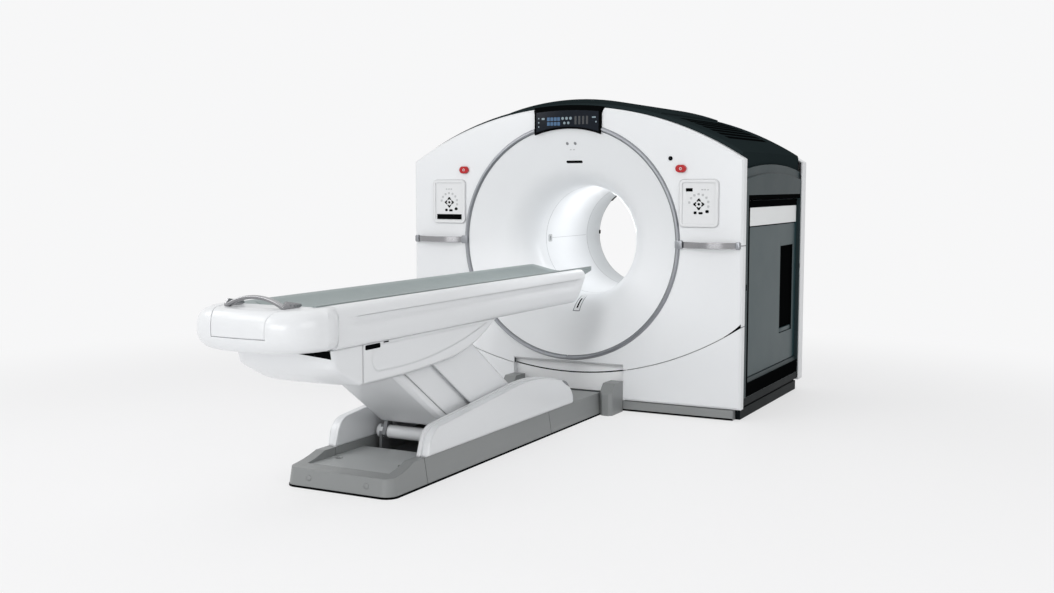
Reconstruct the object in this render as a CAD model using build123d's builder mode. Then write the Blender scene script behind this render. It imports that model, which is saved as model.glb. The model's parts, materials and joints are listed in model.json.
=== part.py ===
"""PET-CT scanner: a ring gantry with a lifting patient table, in millimetres.

X runs across, Y from the table's foot end into the gantry, Z up from the floor.
The origin is on the floor, at the middle of the machine's whole length.
"""
import os
from math import cos, radians, sin, sqrt, tan

from build123d import *

# Gantry as a whole
gantry_depth = 1400
overrun = 40
seam = 4
running_gap = 0.05
slide_gap = 0.3

# Ring at the front and the covers round it
ring_radius = 742
ring_clearance = 298
cheek_width = 386
brow_height = 94
crown_drop = 332
ring_foot = 77
lower_seam_rise = 345
skirt_height = 70
cover_wall = 8
cover_wrap = 60
rear_wrap = 110
edge_bevel = 12
corner_cut = 36

# Dock bay in the lower front cover
bay_rise = 71
bay_depth = 40
dock_panel_wall = 10
dock_groove = 6

# Bore and funnel
bore_radius = 350
bore_wall = 8
ring_width = 27
ring_proud = 14
ring_bevel = 8
rim_seat = 10
funnel_angle = 65.9
funnel_bend = 243
window_length = 220
rear_taper = 136
rear_mouth = 130
rear_flange = 30

# Display
display_half = 225
display_overlap = 42
display_proud = 16
glass_margin = 12
glass_thickness = 3

# Control panels, stop buttons and grab handles
panel_offset = 116
panel_rise = 246
panel_width = 245
panel_height = 283
panel_proud = 12
panel_rim = 20
panel_cut = 18
panel_bevel = 5
keypad_proud = 6
stop_offset = 2
stop_rise = 450
stop_width = 65
stop_height = 45
stop_corner = 16
stop_proud = 14
stop_flange = 6
stop_flange_thickness = 3
grip_height = 35
grip_depth = 16
grip_bow = 58
grip_foot = 34

# Roof
roof_proud = 24
roof_bevel = 16
roof_wall = 8
roof_end_drop = 63
roof_end_rise = 40
hump_margin = 568
hump_rise = 30
hump_setback = 90
hump_step = 10
louvre_count = 7
louvre_inset = 80
louvre_margin = 171
louvre_width = 18
louvre_length = 760

# Side frames and doors
side_recess = 5
side_thickness = 45
ledge_step = 12
ledge_height = 54
plinth_height = 128
plinth_recess = 14
plinth_groove = 10
plinth_groove_height = 20
door_front = 146
door_rear = 18
door_bottom = 232
door_drop = 119
door_gap = 6
door_recess = 21
door_thickness = 24
door_pin_radius = 8
door_pin_length = 18
door_pin_inset = 13
sill_drop = 48
plate_drop = 44
plate_height = 110
plate_margin = 50
plate_thickness = 2
pocket_rise = 192
pocket_drop = 302
pocket_width = 290
pocket_margin = 90
pocket_depth = 16

# Base frame and feet
kick_height = 65
kick_margin = 48
kick_setback = 10
floor_gap = 4
base_top = 110
base_rail = 120
anchor_radius = 9
anchor_inset_x = 180
anchor_inset_y = 60
foot_radius = 45
foot_height = 12
foot_sides = 8

# Rotor, bearing and detectors inside the gantry
rotor_start = 500
rotor_thickness = 58
rotor_margin = 52
rotor_clearance = 50
bearing_length = 62
bearing_width = 80
frame_thickness = 80
frame_margin = 178
frame_drop = 110
frame_foot = 160
tube_width = 330
tube_height = 220
tube_length = 270
tube_inset = 20
detector_width = 120
detector_inset = 10
detector_half_angle = 32
detector_length = 180
generator_width = 180
generator_height = 300
generator_length = 240
generator_inset = 55
pet_width = 188
pet_clearance = 22
pet_sides = 16
drum_sides = 16
pet_leg = 90
rack_width = 340
rack_depth = 250
rack_drop = 50
rack_margin = 118
rack_start = 730

# Table base
base_start = 100
base_height = 130
base_taper = 8.75
base_lip = 90
base_lip_length = 220
base_round = 60
base_margin = 10
base_setback = 646
well_lip = 90
well_rear = 420
well_plate = 8
well_plate_reach = 120
access_radius = 22
access_sides = 8
cap_length = 305
tail_length = 725
tray_thickness = 30
tray_overlap = 34
tray_margin = 40
leg_cover_gap = 4
leg_cover_width = 58
leg_cover_height = 230
leg_cover_reach = 350
leg_cover_tail = 635
leg_cover_round = 34
leg_cover_bevel = 12
bracket_width = 80
bracket_depth = 180
bracket_height = 190
bracket_step = 60
bracket_bevel = 20
table_anchor_radius = 8
table_anchor_x = 180
table_anchor_front = 270
table_anchor_rear = 380
gear_half = 110
gear_gap = 6
gear_length = 140
gear_height = 150
gear_bevel = 30
motor_length = 130
motor_half = 55

# Lifting arms
pivot_rear = 1160
pivot_spacing = 600
pivot_height = 150
pivot_drop = 34
arm_rise = 70
leg_slant = 34.5
shaft_radius = 20
eye_radius = 36
eye_cut = 16
arm_plate = 20
arm_inset = 30
arm_width = 70
arm_tie = 40
lug_gap = 8
lug_thickness = 14
lug_half = 36
lug_cut = 18
front_face = 35
front_band = 50
mid_band = 135
rear_band = 272
skin = 6
skin_step = 22
front_tuck = 16
front_skin_start = 52
front_round = 16
mid_overlap = 30
leg_tuck = 45
leg_rear_rise = 70
leg_round = 18
leg_clearance = 36
well_clearance = 6

# Table top
cradle_half = 213
cradle_drop = 140
cradle_depth = 60
cradle_trough = 40
cradle_lip = 12
cradle_edge = 18
cradle_keel = 130
cradle_tip = 40
cradle_foot_overlap = 56
cradle_round = 90
pad_thickness = 10
pad_margin = 14
foot_overhang = 662
nose_length = 302
side_drop = 5
side_height = 183
side_wall = 8
side_gap = 9
side_width = 63
side_ledge = 18
side_shoulder = 34
side_tuck = 16
side_tuck_height = 78
side_rear = 322
side_slant = 148
groove_rise = 92
groove_height = 45
groove_depth = 6
groove_front = 162
groove_rear = 172
groove_cut = 14
hull_inset = 27
hull_wall = 8
hull_front_lap = 84
hull_nose_length = 288
hull_belly_length = 150
hull_keel_length = 560
hull_keel_rise = 22
hull_length = 1462
hull_depth = 178
hull_seam_inset = 204
hull_lip = 10
hull_bevel = 12
recess_depth = 3
chassis_rise = 58
chassis_rail = 44
chassis_skirt = 22
skirt_margin = 150
chassis_plate = 8
chassis_front = 24
chassis_rear = 480
chassis_bridge = 120
nose_lift = 8
nose_bulge = 36
nose_belly = 110
nose_front_inset = 25
nose_bow = 30
nose_corner = 140
nose_bevel = 44
nose_wall = 8
notch_rise = 61
notch_front_half = 113
notch_margin = 3
notch_back = 176
notch_gap = 2
arch_half = 151
arch_setback = 120
arch_lift = 12
arch_height = 40
arch_band = 12
arch_depth = 22
arch_plate = 9
arch_plate_height = 22
arch_sweep = 96
arch_pin_radius = 5
arch_lug = 10
foot_shell = 40
end_cover_wall = 8

# Shares of the sizes above, chosen by hand
leg_cover_shares = ((0.03, 0.57), (0.69, 1.0), (0.93, 0.68), (1.0, 0.30))
hull_recess_shares = ((0.10, 0.93), (0.058, 0.60), (0.12, 0.27), (0.55, 0.40), (0.92, 0.93))

# Heights and widths that follow from the sizes
bore_height = ring_clearance + ring_radius
gantry_half = ring_radius + cheek_width
crown_height = bore_height + ring_radius + brow_height
crown_radius = (gantry_half**2 + crown_drop**2) / (2 * crown_drop)
crown_edge = crown_height - crown_drop
lower_seam_height = ring_clearance - ring_foot
lower_seam_radius = (gantry_half**2 + lower_seam_rise**2) / (2 * lower_seam_rise)
bay_height = lower_seam_height + bay_rise
roof_apex = crown_height + roof_proud
roof_end = crown_edge - roof_end_drop
ledge_top = roof_end - ledge_height
door_top = ledge_top - door_drop
cradle_height = bore_height - cradle_drop
cradle_bottom = cradle_height - cradle_depth
side_top = cradle_height - side_drop
side_bottom = side_top - side_height
hull_bottom = side_bottom - hull_depth
nose_bottom = side_bottom + nose_lift
chassis_bottom = side_bottom + chassis_rise
side_inner = cradle_half + side_gap
side_half = side_inner + side_width
hull_half = side_half - hull_inset
rear_skin_half = hull_half - leg_clearance
front_skin_half = rear_skin_half - skin_step
arm_outer = front_skin_half - arm_inset
lug_inner = arm_outer + lug_gap
lug_outer = lug_inner + lug_thickness
well_half = rear_skin_half + well_clearance
leg_cover_inner = well_half + leg_cover_gap
leg_cover_outer = leg_cover_inner + leg_cover_width
base_half = leg_cover_outer + base_margin
bay_half = base_half + bracket_width
side_outer = gantry_half - side_recess
side_inside = side_outer - side_thickness
roof_half = side_outer - 2 * ledge_step

# Lengths along the machine; the table's are measured forward from the gantry's front face
body_depth = gantry_depth - cover_wrap - rear_wrap
funnel_rim = ring_radius - ring_width
bend_rise = funnel_bend * (1 - cos(radians(funnel_angle)))
cone_depth = (funnel_rim - bore_radius - bend_rise) / tan(radians(funnel_angle))
funnel_depth = cone_depth + funnel_bend * sin(radians(funnel_angle))
window_end = gantry_depth - rear_taper
window_start = window_end - window_length
arm_up = (-cos(radians(leg_slant)), sin(radians(leg_slant)))
arm_back = (sin(radians(leg_slant)), cos(radians(leg_slant)))
upper_height = side_bottom - pivot_drop
arm_reach = (upper_height - pivot_height - arm_rise * arm_back[1]) / arm_up[1]
pivot_front = pivot_rear + pivot_spacing
upper_front = pivot_front - arm_reach * arm_up[0] - arm_rise * arm_back[0]
table_reach = upper_front + foot_overhang
side_front = table_reach - nose_length
cradle_foot_end = side_front + cradle_foot_overlap
base_front = table_reach - base_setback
face_y = (table_reach - gantry_depth) / 2
scan_axis = Axis((0, 0, bore_height), (0, 1, 0))


def facing(depth):
    """Plane seen from the table end, at a depth behind the gantry's front face."""
    return Plane.XZ.offset(-(face_y + depth))


def ahead(distance):
    """Y at a distance in front of the gantry's front face."""
    return face_y - distance


def crown(x, apex):
    """Height at x of an arched top whose highest point is the apex."""
    return apex - crown_radius + sqrt(crown_radius**2 - x**2)


def lower_seam(x):
    """Height at x of the arched seam above the lower front cover."""
    return lower_seam_height + lower_seam_radius - sqrt(lower_seam_radius**2 - x**2)


def arm_point(pivot, along, across):
    """Y and Z of a point on an arm, measured along and across the slanted leg."""
    y = ahead(pivot) + along * arm_up[0] + across * arm_back[0]
    z = pivot_height + along * arm_up[1] + across * arm_back[1]
    return (y, z)


def along_leg(across, height):
    """Place along the leg, at a distance across it, that lies at a height over the floor."""
    return (height - pivot_height - across * arm_back[1]) / arm_up[1]


def arched_face(plane, half, bottom, apex):
    """Gantry outline: flat bottom, upright sides and an arched top."""
    edge = crown(half, apex)
    with BuildSketch(plane, mode=Mode.PRIVATE) as face:
        with BuildLine():
            Polyline((-half, edge), (-half, bottom), (half, bottom), (half, edge))
            ThreePointArc((half, edge), (0, apex), (-half, edge))
        make_face()
    return face.sketch


def polygon_face(plane, points):
    """Face bounded by straight lines through the points."""
    with BuildSketch(plane, mode=Mode.PRIVATE) as face:
        with BuildLine():
            Polyline(*points, close=True)
        make_face()
    return face.sketch


def disc_face(depth, radius):
    """Disc about the scan axis."""
    with BuildSketch(facing(depth), mode=Mode.PRIVATE) as face:
        with Locations((0, bore_height)):
            Circle(radius)
    return face.sketch


def ring_face(depth, outer, inner):
    """Flat ring about the scan axis."""
    return disc_face(depth, outer) - disc_face(depth, inner)


def box_face(plane, left, right, low, high):
    """Upright rectangle between two limits each way."""
    return polygon_face(plane, ((left, low), (right, low), (right, high), (left, high)))


def save(builder, name):
    """Label a finished piece and write it."""
    builder.part.label = name
    export_step(builder.part, f"parts/{name}.step")


os.makedirs("parts", exist_ok=True)

# White shell of the front: outline with a bevelled edge, hollow behind, open for the funnel
with BuildPart() as front_shell:
    extrude(arched_face(facing(0), gantry_half, skirt_height, crown_height), amount=-cover_wrap)
    chamfer(front_shell.faces().sort_by(Axis.Y)[0].edges(), edge_bevel)
    hollow = arched_face(
        facing(cover_wall), gantry_half - cover_wall, skirt_height + cover_wall, crown_height - cover_wall
    )
    extrude(hollow, amount=-cover_wrap, mode=Mode.SUBTRACT)
    mouth = disc_face(-overrun, funnel_rim + rim_seat)
    extrude(mouth, amount=-(cover_wrap + overrun), mode=Mode.SUBTRACT)

stop_x = ring_radius + stop_offset
stop_z = bore_height + stop_rise


def stop_face(depth, grow):
    """Outline of the right stop button with its corners cut, grown on every side."""
    with BuildSketch(facing(depth), mode=Mode.PRIVATE) as face:
        with Locations((stop_x, stop_z)):
            Rectangle(stop_width + 2 * grow, stop_height + 2 * grow)
        chamfer(face.vertices(), stop_corner)
    return face.sketch


# Upper front covers, left and right of the display, above the grab handles
edge_x = gantry_half + overrun
inner_x = display_half + seam
region_top = crown_height + overrun
upper_region = polygon_face(
    facing(-overrun),
    ((inner_x, bore_height + seam / 2), (edge_x, bore_height + seam / 2), (edge_x, region_top),
     (inner_x + corner_cut, region_top), (inner_x, crown(inner_x, crown_height) - corner_cut)),
)
with BuildPart() as upper_right:
    add(front_shell.part)
    extrude(upper_region, amount=-(cover_wrap + 2 * overrun), mode=Mode.INTERSECT)
    extrude(stop_face(-overrun, 0), amount=-(cover_wrap + overrun), mode=Mode.SUBTRACT)
save(upper_right, "front_cover_upper_right")

with BuildPart() as upper_left:
    mirror(upper_right.part, about=Plane.YZ)
save(upper_left, "front_cover_upper_left")


# Middle and lower front covers, parted by an arched seam
def seam_face(far_edge, drop):
    """Space between the arched seam, lowered by a drop, and a straight edge."""
    height = lower_seam(edge_x) - drop
    with BuildSketch(facing(-overrun), mode=Mode.PRIVATE) as face:
        with BuildLine():
            Polyline((edge_x, height), (edge_x, far_edge), (-edge_x, far_edge), (-edge_x, height))
            ThreePointArc((-edge_x, height), (0, lower_seam_height - drop), (edge_x, height))
        make_face()
    return face.sketch


bay_face = box_face(facing(-overrun), -bay_half, bay_half, 0, bay_height)
with BuildPart() as middle_cover:
    add(front_shell.part)
    middle_region = seam_face(bore_height - seam / 2, 0)
    extrude(middle_region, amount=-(cover_wrap + 2 * overrun), mode=Mode.INTERSECT)
    extrude(bay_face, amount=-(cover_wrap + 2 * overrun), mode=Mode.SUBTRACT)
save(middle_cover, "front_cover_middle")

with BuildPart() as lower_cover:
    add(front_shell.part)
    lower_region = seam_face(0, seam)
    extrude(lower_region, amount=-(cover_wrap + 2 * overrun), mode=Mode.INTERSECT)
    flange_top = lower_seam(bay_half) - seam
    for left in (-bay_half - cover_wall, bay_half):
        flange = box_face(facing(0), left, left + cover_wall, skirt_height, flange_top)
        extrude(flange, amount=-bay_depth)
    extrude(bay_face, amount=-(cover_wrap + 2 * overrun), mode=Mode.SUBTRACT)
save(lower_cover, "front_cover_lower")

# Dock panel at the back of the bay, with the seam's line carried on as a groove
with BuildPart() as dock_panel:
    panel_half = bay_half + cover_wall
    panel = box_face(facing(bay_depth), -panel_half, panel_half, base_top, bay_height)
    extrude(panel, amount=-dock_panel_wall)
    hood = polygon_face(
        Plane.YZ,
        ((face_y, bay_height), (face_y + bay_depth, bay_height - bay_depth / 2),
         (face_y + bay_depth, bay_height)),
    )
    extrude(hood, amount=bay_half - seam, both=True)
    groove_end = lower_seam(bay_half)
    with BuildSketch(facing(bay_depth)):
        with BuildLine():
            ThreePointArc((-bay_half, groove_end), (0, lower_seam_height), (bay_half, groove_end))
            Line((bay_half, groove_end), (bay_half, groove_end - 2 * seam))
            ThreePointArc(
                (bay_half, groove_end - 2 * seam), (0, lower_seam_height - 2 * seam),
                (-bay_half, groove_end - 2 * seam),
            )
            Line((-bay_half, groove_end - 2 * seam), (-bay_half, groove_end))
        make_face()
    extrude(amount=-dock_groove, mode=Mode.SUBTRACT)
save(dock_panel, "dock_panel")

# Silver trim ring in two halves, open at the top for the display
with BuildPart() as trim_ring:
    profile = polygon_face(
        Plane.XY.offset(bore_height),
        ((funnel_rim, face_y), (funnel_rim + ring_bevel, face_y - ring_proud),
         (ring_radius - ring_bevel, face_y - ring_proud), (ring_radius, face_y)),
    )
    revolve(profile, axis=scan_axis)
    gap_top = box_face(facing(-overrun), -inner_x, inner_x, bore_height, crown_height)
    extrude(gap_top, amount=-2 * overrun, mode=Mode.SUBTRACT)
    gap_low = box_face(facing(-overrun), -seam / 4, seam / 4, 0, bore_height)
    extrude(gap_low, amount=-2 * overrun, mode=Mode.SUBTRACT)
save(trim_ring, "trim_ring")

# Entry funnel: a cone that bends into the bore, with a plain back
cone_end = bore_radius + bend_rise
half_turn = radians(funnel_angle / 2)
bend_mid = (
    bore_radius + funnel_bend * (1 - cos(half_turn)), face_y + funnel_depth - funnel_bend * sin(half_turn)
)
rim_back = bore_wall * sin(radians(funnel_angle))
with BuildPart() as funnel:
    with BuildSketch(Plane.XY.offset(bore_height)):
        with BuildLine():
            Line((funnel_rim, face_y), (cone_end, face_y + cone_depth))
            ThreePointArc((cone_end, face_y + cone_depth), bend_mid, (bore_radius, face_y + funnel_depth))
            Polyline(
                (bore_radius, face_y + funnel_depth), (bore_radius + bore_wall, face_y + funnel_depth),
                (bend_mid[0] + bore_wall, bend_mid[1] + bore_wall), (funnel_rim + rim_seat, face_y + rim_back),
                (funnel_rim + rim_seat, face_y), (funnel_rim, face_y),
            )
        make_face()
    revolve(axis=scan_axis)
save(funnel, "funnel")

# Bore tube, scan window and rear mouth
with BuildPart() as bore_liner:
    extrude(ring_face(funnel_depth, bore_radius + bore_wall, bore_radius), amount=funnel_depth - window_start)
save(bore_liner, "bore_liner")

with BuildPart() as scan_window:
    extrude(ring_face(window_start, bore_radius + bore_wall, bore_radius), amount=-window_length)
save(scan_window, "scan_window")

rear_face = face_y + gantry_depth
rear_mouth_radius = bore_radius + rear_mouth
with BuildPart() as rear_funnel:
    profile = polygon_face(
        Plane.XY.offset(bore_height),
        ((bore_radius, face_y + window_end), (rear_mouth_radius, rear_face),
         (rear_mouth_radius + rear_flange, rear_face),
         (rear_mouth_radius + rear_flange, rear_face - bore_wall),
         (bore_radius + bore_wall, face_y + window_end)),
    )
    revolve(profile, axis=scan_axis)
save(rear_funnel, "rear_funnel")

with BuildPart() as rear_cover:
    rear_start = gantry_depth - rear_wrap
    extrude(arched_face(facing(rear_start), gantry_half, skirt_height, crown_height), amount=-rear_wrap)
    chamfer(rear_cover.faces().sort_by(Axis.Y)[-1].edges(), edge_bevel)
    hollow = arched_face(
        facing(rear_start), gantry_half - cover_wall, skirt_height + cover_wall, crown_height - cover_wall
    )
    extrude(hollow, amount=cover_wall - rear_wrap, mode=Mode.SUBTRACT)
    mouth = disc_face(rear_start, rear_mouth_radius + rear_flange)
    extrude(mouth, amount=-(rear_wrap + overrun), mode=Mode.SUBTRACT)
save(rear_cover, "rear_cover")

# Display above the ring: dark housing up to the roof line and a glass let into it
display_bottom = ring_radius - display_overlap
with BuildPart() as display_bezel:
    housing = arched_face(facing(-display_proud), display_half, bore_height, roof_apex - roof_bevel)
    extrude(housing, amount=-(display_proud + cover_wrap))
    extrude(disc_face(-overrun, display_bottom), amount=-(overrun + cover_wrap), mode=Mode.SUBTRACT)
    extrude(disc_face(0, ring_radius), amount=-(cover_wrap + overrun), mode=Mode.SUBTRACT)
    with BuildSketch(facing(-display_proud)) as glass_face:
        add(arched_face(
            facing(-display_proud), display_half - glass_margin, bore_height, crown_height - 2 * glass_margin
        ))
        add(disc_face(-display_proud, display_bottom + glass_margin), mode=Mode.SUBTRACT)
    extrude(amount=-glass_thickness, mode=Mode.SUBTRACT)
save(display_bezel, "display_bezel")

with BuildPart() as display_glass:
    extrude(glass_face.sketch, amount=-glass_thickness)
save(display_glass, "display_glass")

# Control panels: a raised rim with a keypad let into it
panel_x = ring_radius + panel_offset
panel_z = bore_height + panel_rise
keypad_width = panel_width - 2 * panel_rim
keypad_height = panel_height - 2 * panel_rim
with BuildPart() as panel_bezels:
    with BuildSketch(facing(0)) as panel_face:
        with Locations((panel_x, panel_z)):
            Rectangle(panel_width, panel_height)
        chamfer(panel_face.vertices(), panel_cut)
    extrude(amount=panel_proud)
    chamfer(panel_bezels.faces().sort_by(Axis.Y)[0].edges(), panel_bevel)
    with BuildSketch(facing(0)):
        with Locations((panel_x, panel_z)):
            Rectangle(keypad_width, keypad_height)
    extrude(amount=panel_proud, mode=Mode.SUBTRACT)
    mirror(about=Plane.YZ)
save(panel_bezels, "panel_bezels")

with BuildPart() as keypads:
    with BuildSketch(facing(0)):
        with Locations((-panel_x, panel_z), (panel_x, panel_z)):
            Rectangle(keypad_width, keypad_height)
    extrude(amount=keypad_proud)
save(keypads, "keypads")

# Emergency stop buttons, held behind the cover by a flange
with BuildPart() as stop_right:
    extrude(stop_face(-stop_proud, -slide_gap), amount=-(stop_proud + cover_wall + slide_gap))
    extrude(stop_face(cover_wall + slide_gap, stop_flange), amount=-stop_flange_thickness)
save(stop_right, "stop_button_right")

with BuildPart() as stop_left:
    mirror(stop_right.part, about=Plane.YZ)
save(stop_left, "stop_button_left")

# Bowed grab handles between the ring and the outer edge
grip_out = gantry_half - edge_bevel
grip_mid = (ring_radius + grip_out) / 2
with BuildPart() as grab_handles:
    with BuildSketch(Plane.XY.offset(bore_height)):
        with BuildLine():
            ThreePointArc((ring_radius, face_y), (grip_mid, face_y - grip_bow), (grip_out, face_y))
            Line((grip_out, face_y), (grip_out - grip_foot, face_y))
            ThreePointArc(
                (grip_out - grip_foot, face_y), (grip_mid, face_y - grip_bow + grip_depth),
                (ring_radius + grip_foot, face_y),
            )
            Line((ring_radius + grip_foot, face_y), (ring_radius, face_y))
        make_face()
    extrude(amount=grip_height / 2, both=True)
    mirror(about=Plane.YZ)
save(grab_handles, "grab_handles")

# Roof: arched shell with louvre slots and a raised middle
frame_front = face_y + cover_wrap
frame_rear = frame_front + body_depth
middle_y = (frame_front + frame_rear) / 2
hump_half = gantry_half - hump_margin
hump_edge = crown(hump_half, roof_apex) + hump_step
louvre_start = hump_half + louvre_inset
louvre_pitch = (roof_half - louvre_margin - louvre_start) / (louvre_count - 1)
louvre_places = [louvre_start + i * louvre_pitch for i in range(louvre_count)]


def arched_side(plane, bottom, top):
    """Side view between the front and rear covers, with a top that arches up by the roof's rise."""
    with BuildSketch(plane, mode=Mode.PRIVATE) as face:
        with BuildLine():
            Polyline((frame_front, top), (frame_front, bottom), (frame_rear, bottom), (frame_rear, top))
            ThreePointArc((frame_rear, top), (middle_y, top + roof_end_rise), (frame_front, top))
        make_face()
    return face.sketch


with BuildPart() as roof_cover:
    extrude(arched_face(facing(cover_wrap), roof_half, roof_end, roof_apex), amount=-body_depth)
    crown_edges = roof_cover.edges().filter_by(GeomType.CIRCLE)
    chamfer(crown_edges, roof_bevel)
    with BuildSketch(facing(cover_wrap + hump_setback)):
        with BuildLine():
            ThreePointArc((-hump_half, hump_edge), (0, roof_apex + hump_rise), (hump_half, hump_edge))
            Polyline(
                (hump_half, hump_edge), (hump_half, roof_end), (-hump_half, roof_end), (-hump_half, hump_edge)
            )
        make_face()
    extrude(amount=2 * hump_setback - body_depth)
    void_apex = roof_apex - roof_bevel - roof_wall
    void = arched_face(facing(cover_wrap - overrun), roof_half - roof_wall, roof_end - overrun, void_apex)
    extrude(void, amount=-(body_depth + 2 * overrun), mode=Mode.SUBTRACT)
    below = arched_side(Plane.YZ, roof_end - overrun, roof_end)
    extrude(below, amount=gantry_half, both=True, mode=Mode.SUBTRACT)
    with BuildSketch(Plane.XY.offset(roof_end)):
        with Locations(*[(side * x, middle_y) for side in (-1, 1) for x in louvre_places]):
            Rectangle(louvre_width, louvre_length)
    extrude(amount=roof_apex - roof_end, mode=Mode.SUBTRACT)
save(roof_cover, "roof_cover")

# Side frames: dark panels with two arched ledges on top, a door opening and a sloping sill
opening_front = face_y + door_front
opening_rear = frame_rear - door_rear
leaf_x = side_outer - door_recess - door_thickness
plate_x = leaf_x + door_thickness
pin_x = leaf_x + door_thickness / 2
pin_y = opening_front + door_gap + door_pin_inset
with BuildPart() as side_frames:
    side_plane = Plane.YZ.offset(side_inside)
    extrude(arched_side(side_plane, plinth_height, ledge_top), amount=side_thickness)
    extrude(arched_side(side_plane, plinth_height, roof_end), amount=side_thickness - ledge_step)
    opening = box_face(side_plane, opening_front, opening_rear, door_bottom, door_top)
    extrude(opening, amount=side_thickness, mode=Mode.SUBTRACT)
    sill = polygon_face(
        Plane.XZ.offset(-opening_rear),
        ((plate_x, door_bottom), (side_outer, door_bottom - sill_drop), (side_outer, door_bottom)),
    )
    extrude(sill, amount=opening_rear - opening_front, mode=Mode.SUBTRACT)
    with Locations((pin_x, pin_y, plinth_height)):
        Cylinder(
            door_pin_radius + running_gap, ledge_top - plinth_height,
            align=(Align.CENTER, Align.CENTER, Align.MIN), mode=Mode.SUBTRACT,
        )
    mirror(about=Plane.YZ)
save(side_frames, "side_frames")

# Doors that turn on two pins in the side frames, each with a blank plate and a grip pocket
leaf_front = opening_front + door_gap
leaf_rear = opening_rear - door_gap
leaf_bottom = door_bottom + door_gap
leaf_top = door_top - door_gap
with BuildPart() as door_right:
    leaf = box_face(Plane.YZ.offset(leaf_x), leaf_front, leaf_rear, leaf_bottom, leaf_top)
    extrude(leaf, amount=door_thickness)
    pocket_rear = leaf_rear - pocket_margin
    pocket = box_face(
        Plane.YZ.offset(plate_x), pocket_rear - pocket_width, pocket_rear, leaf_bottom + pocket_rise,
        leaf_top - pocket_drop,
    )
    extrude(pocket, amount=-pocket_depth, mode=Mode.SUBTRACT)
    with Locations((pin_x, pin_y, leaf_bottom - door_pin_length)):
        Cylinder(
            door_pin_radius, leaf_top - leaf_bottom + 2 * door_pin_length,
            align=(Align.CENTER, Align.CENTER, Align.MIN),
        )
save(door_right, "door_right")

with BuildPart() as door_left:
    mirror(door_right.part, about=Plane.YZ)
save(door_left, "door_left")

with BuildPart() as plate_right:
    plate_top = leaf_top - plate_drop
    plate = box_face(
        Plane.YZ.offset(plate_x), leaf_front + plate_margin, leaf_rear - plate_margin / 2,
        plate_top - plate_height, plate_top,
    )
    extrude(plate, amount=plate_thickness)
save(plate_right, "door_plate_right")

with BuildPart() as plate_left:
    mirror(plate_right.part, about=Plane.YZ)
save(plate_left, "door_plate_left")

# Plinths, kick plate and base frame with its levelling feet
plinth_outer = side_outer - plinth_recess
groove_low = plinth_height / 2
groove_high = groove_low + plinth_groove_height
with BuildPart() as side_plinths:
    profile = polygon_face(
        facing(cover_wrap),
        ((side_inside, floor_gap), (plinth_outer, floor_gap), (plinth_outer, groove_low),
         (plinth_outer - plinth_groove, groove_low), (plinth_outer - plinth_groove, groove_high),
         (side_outer, groove_high), (side_outer, plinth_height), (side_inside, plinth_height)),
    )
    extrude(profile, amount=-body_depth)
    mirror(about=Plane.YZ)
save(side_plinths, "side_plinths")

with BuildPart() as kick_plate:
    kick_half = gantry_half - kick_margin
    kick = box_face(facing(kick_setback), -kick_half, kick_half, floor_gap, kick_height)
    extrude(kick, amount=kick_setback - cover_wrap)
save(kick_plate, "kick_plate")

anchor_span_x = 2 * (side_inside - anchor_inset_x)
anchor_span_y = body_depth - 2 * anchor_inset_y
with BuildPart() as base_frame:
    with BuildSketch(Plane.XY.offset(foot_height)):
        with Locations((0, middle_y)):
            Rectangle(2 * side_inside, body_depth)
            Rectangle(2 * (side_inside - base_rail), body_depth - 2 * base_rail, mode=Mode.SUBTRACT)
            with GridLocations(anchor_span_x, anchor_span_y, 2, 2):
                Circle(anchor_radius, mode=Mode.SUBTRACT)
    extrude(amount=base_top - foot_height)
    with BuildSketch():
        with Locations((0, middle_y)):
            with GridLocations(2 * side_inside - base_rail, anchor_span_y, 2, 2):
                RegularPolygon(foot_radius, foot_sides)
    extrude(amount=foot_height)
save(base_frame, "base_frame")



# Gantry frame, bearing and rotating drum with its X-ray parts
def drum_face(depth, outer, inner):
    """Many-sided ring about the scan axis, within an outer and clear of an inner radius."""
    with BuildSketch(facing(depth), mode=Mode.PRIVATE) as face:
        with Locations((0, bore_height)):
            RegularPolygon(outer, drum_sides)
            RegularPolygon(inner, drum_sides, major_radius=False, mode=Mode.SUBTRACT)
    return face.sketch


rotor_radius = ring_radius - rotor_margin
rotor_bore = bore_radius + rotor_clearance
bearing_start = rotor_start + rotor_thickness + slide_gap
stator_start = bearing_start + bearing_length
frame_half = side_inside - frame_margin
frame_top = bore_height + rotor_radius - frame_drop
with BuildPart() as gantry_frame:
    wall = box_face(facing(stator_start), -frame_half, frame_half, base_top, frame_top)
    extrude(wall, amount=-frame_thickness)
    foot_half = side_inside - base_rail / 2
    foot = box_face(facing(stator_start), -foot_half, foot_half, base_top, base_top + frame_foot)
    extrude(foot, amount=-frame_thickness)
    hole = disc_face(stator_start - overrun, rotor_radius - bearing_width)
    extrude(hole, amount=-(frame_thickness + 2 * overrun), mode=Mode.SUBTRACT)
save(gantry_frame, "gantry_frame")

with BuildPart() as slip_bearing:
    extrude(drum_face(bearing_start, rotor_radius, rotor_radius - bearing_width), amount=-bearing_length)
save(slip_bearing, "slip_bearing")

with BuildPart() as ct_rotor:
    extrude(drum_face(rotor_start, rotor_radius, rotor_bore), amount=-rotor_thickness)
save(ct_rotor, "ct_rotor")

with BuildPart() as xray_tube:
    tube_top = bore_height + rotor_radius - tube_inset
    tube = box_face(
        facing(rotor_start - tube_length), -tube_width / 2, tube_width / 2, tube_top - tube_height, tube_top
    )
    extrude(tube, amount=-tube_length)
save(xray_tube, "xray_tube")

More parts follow.
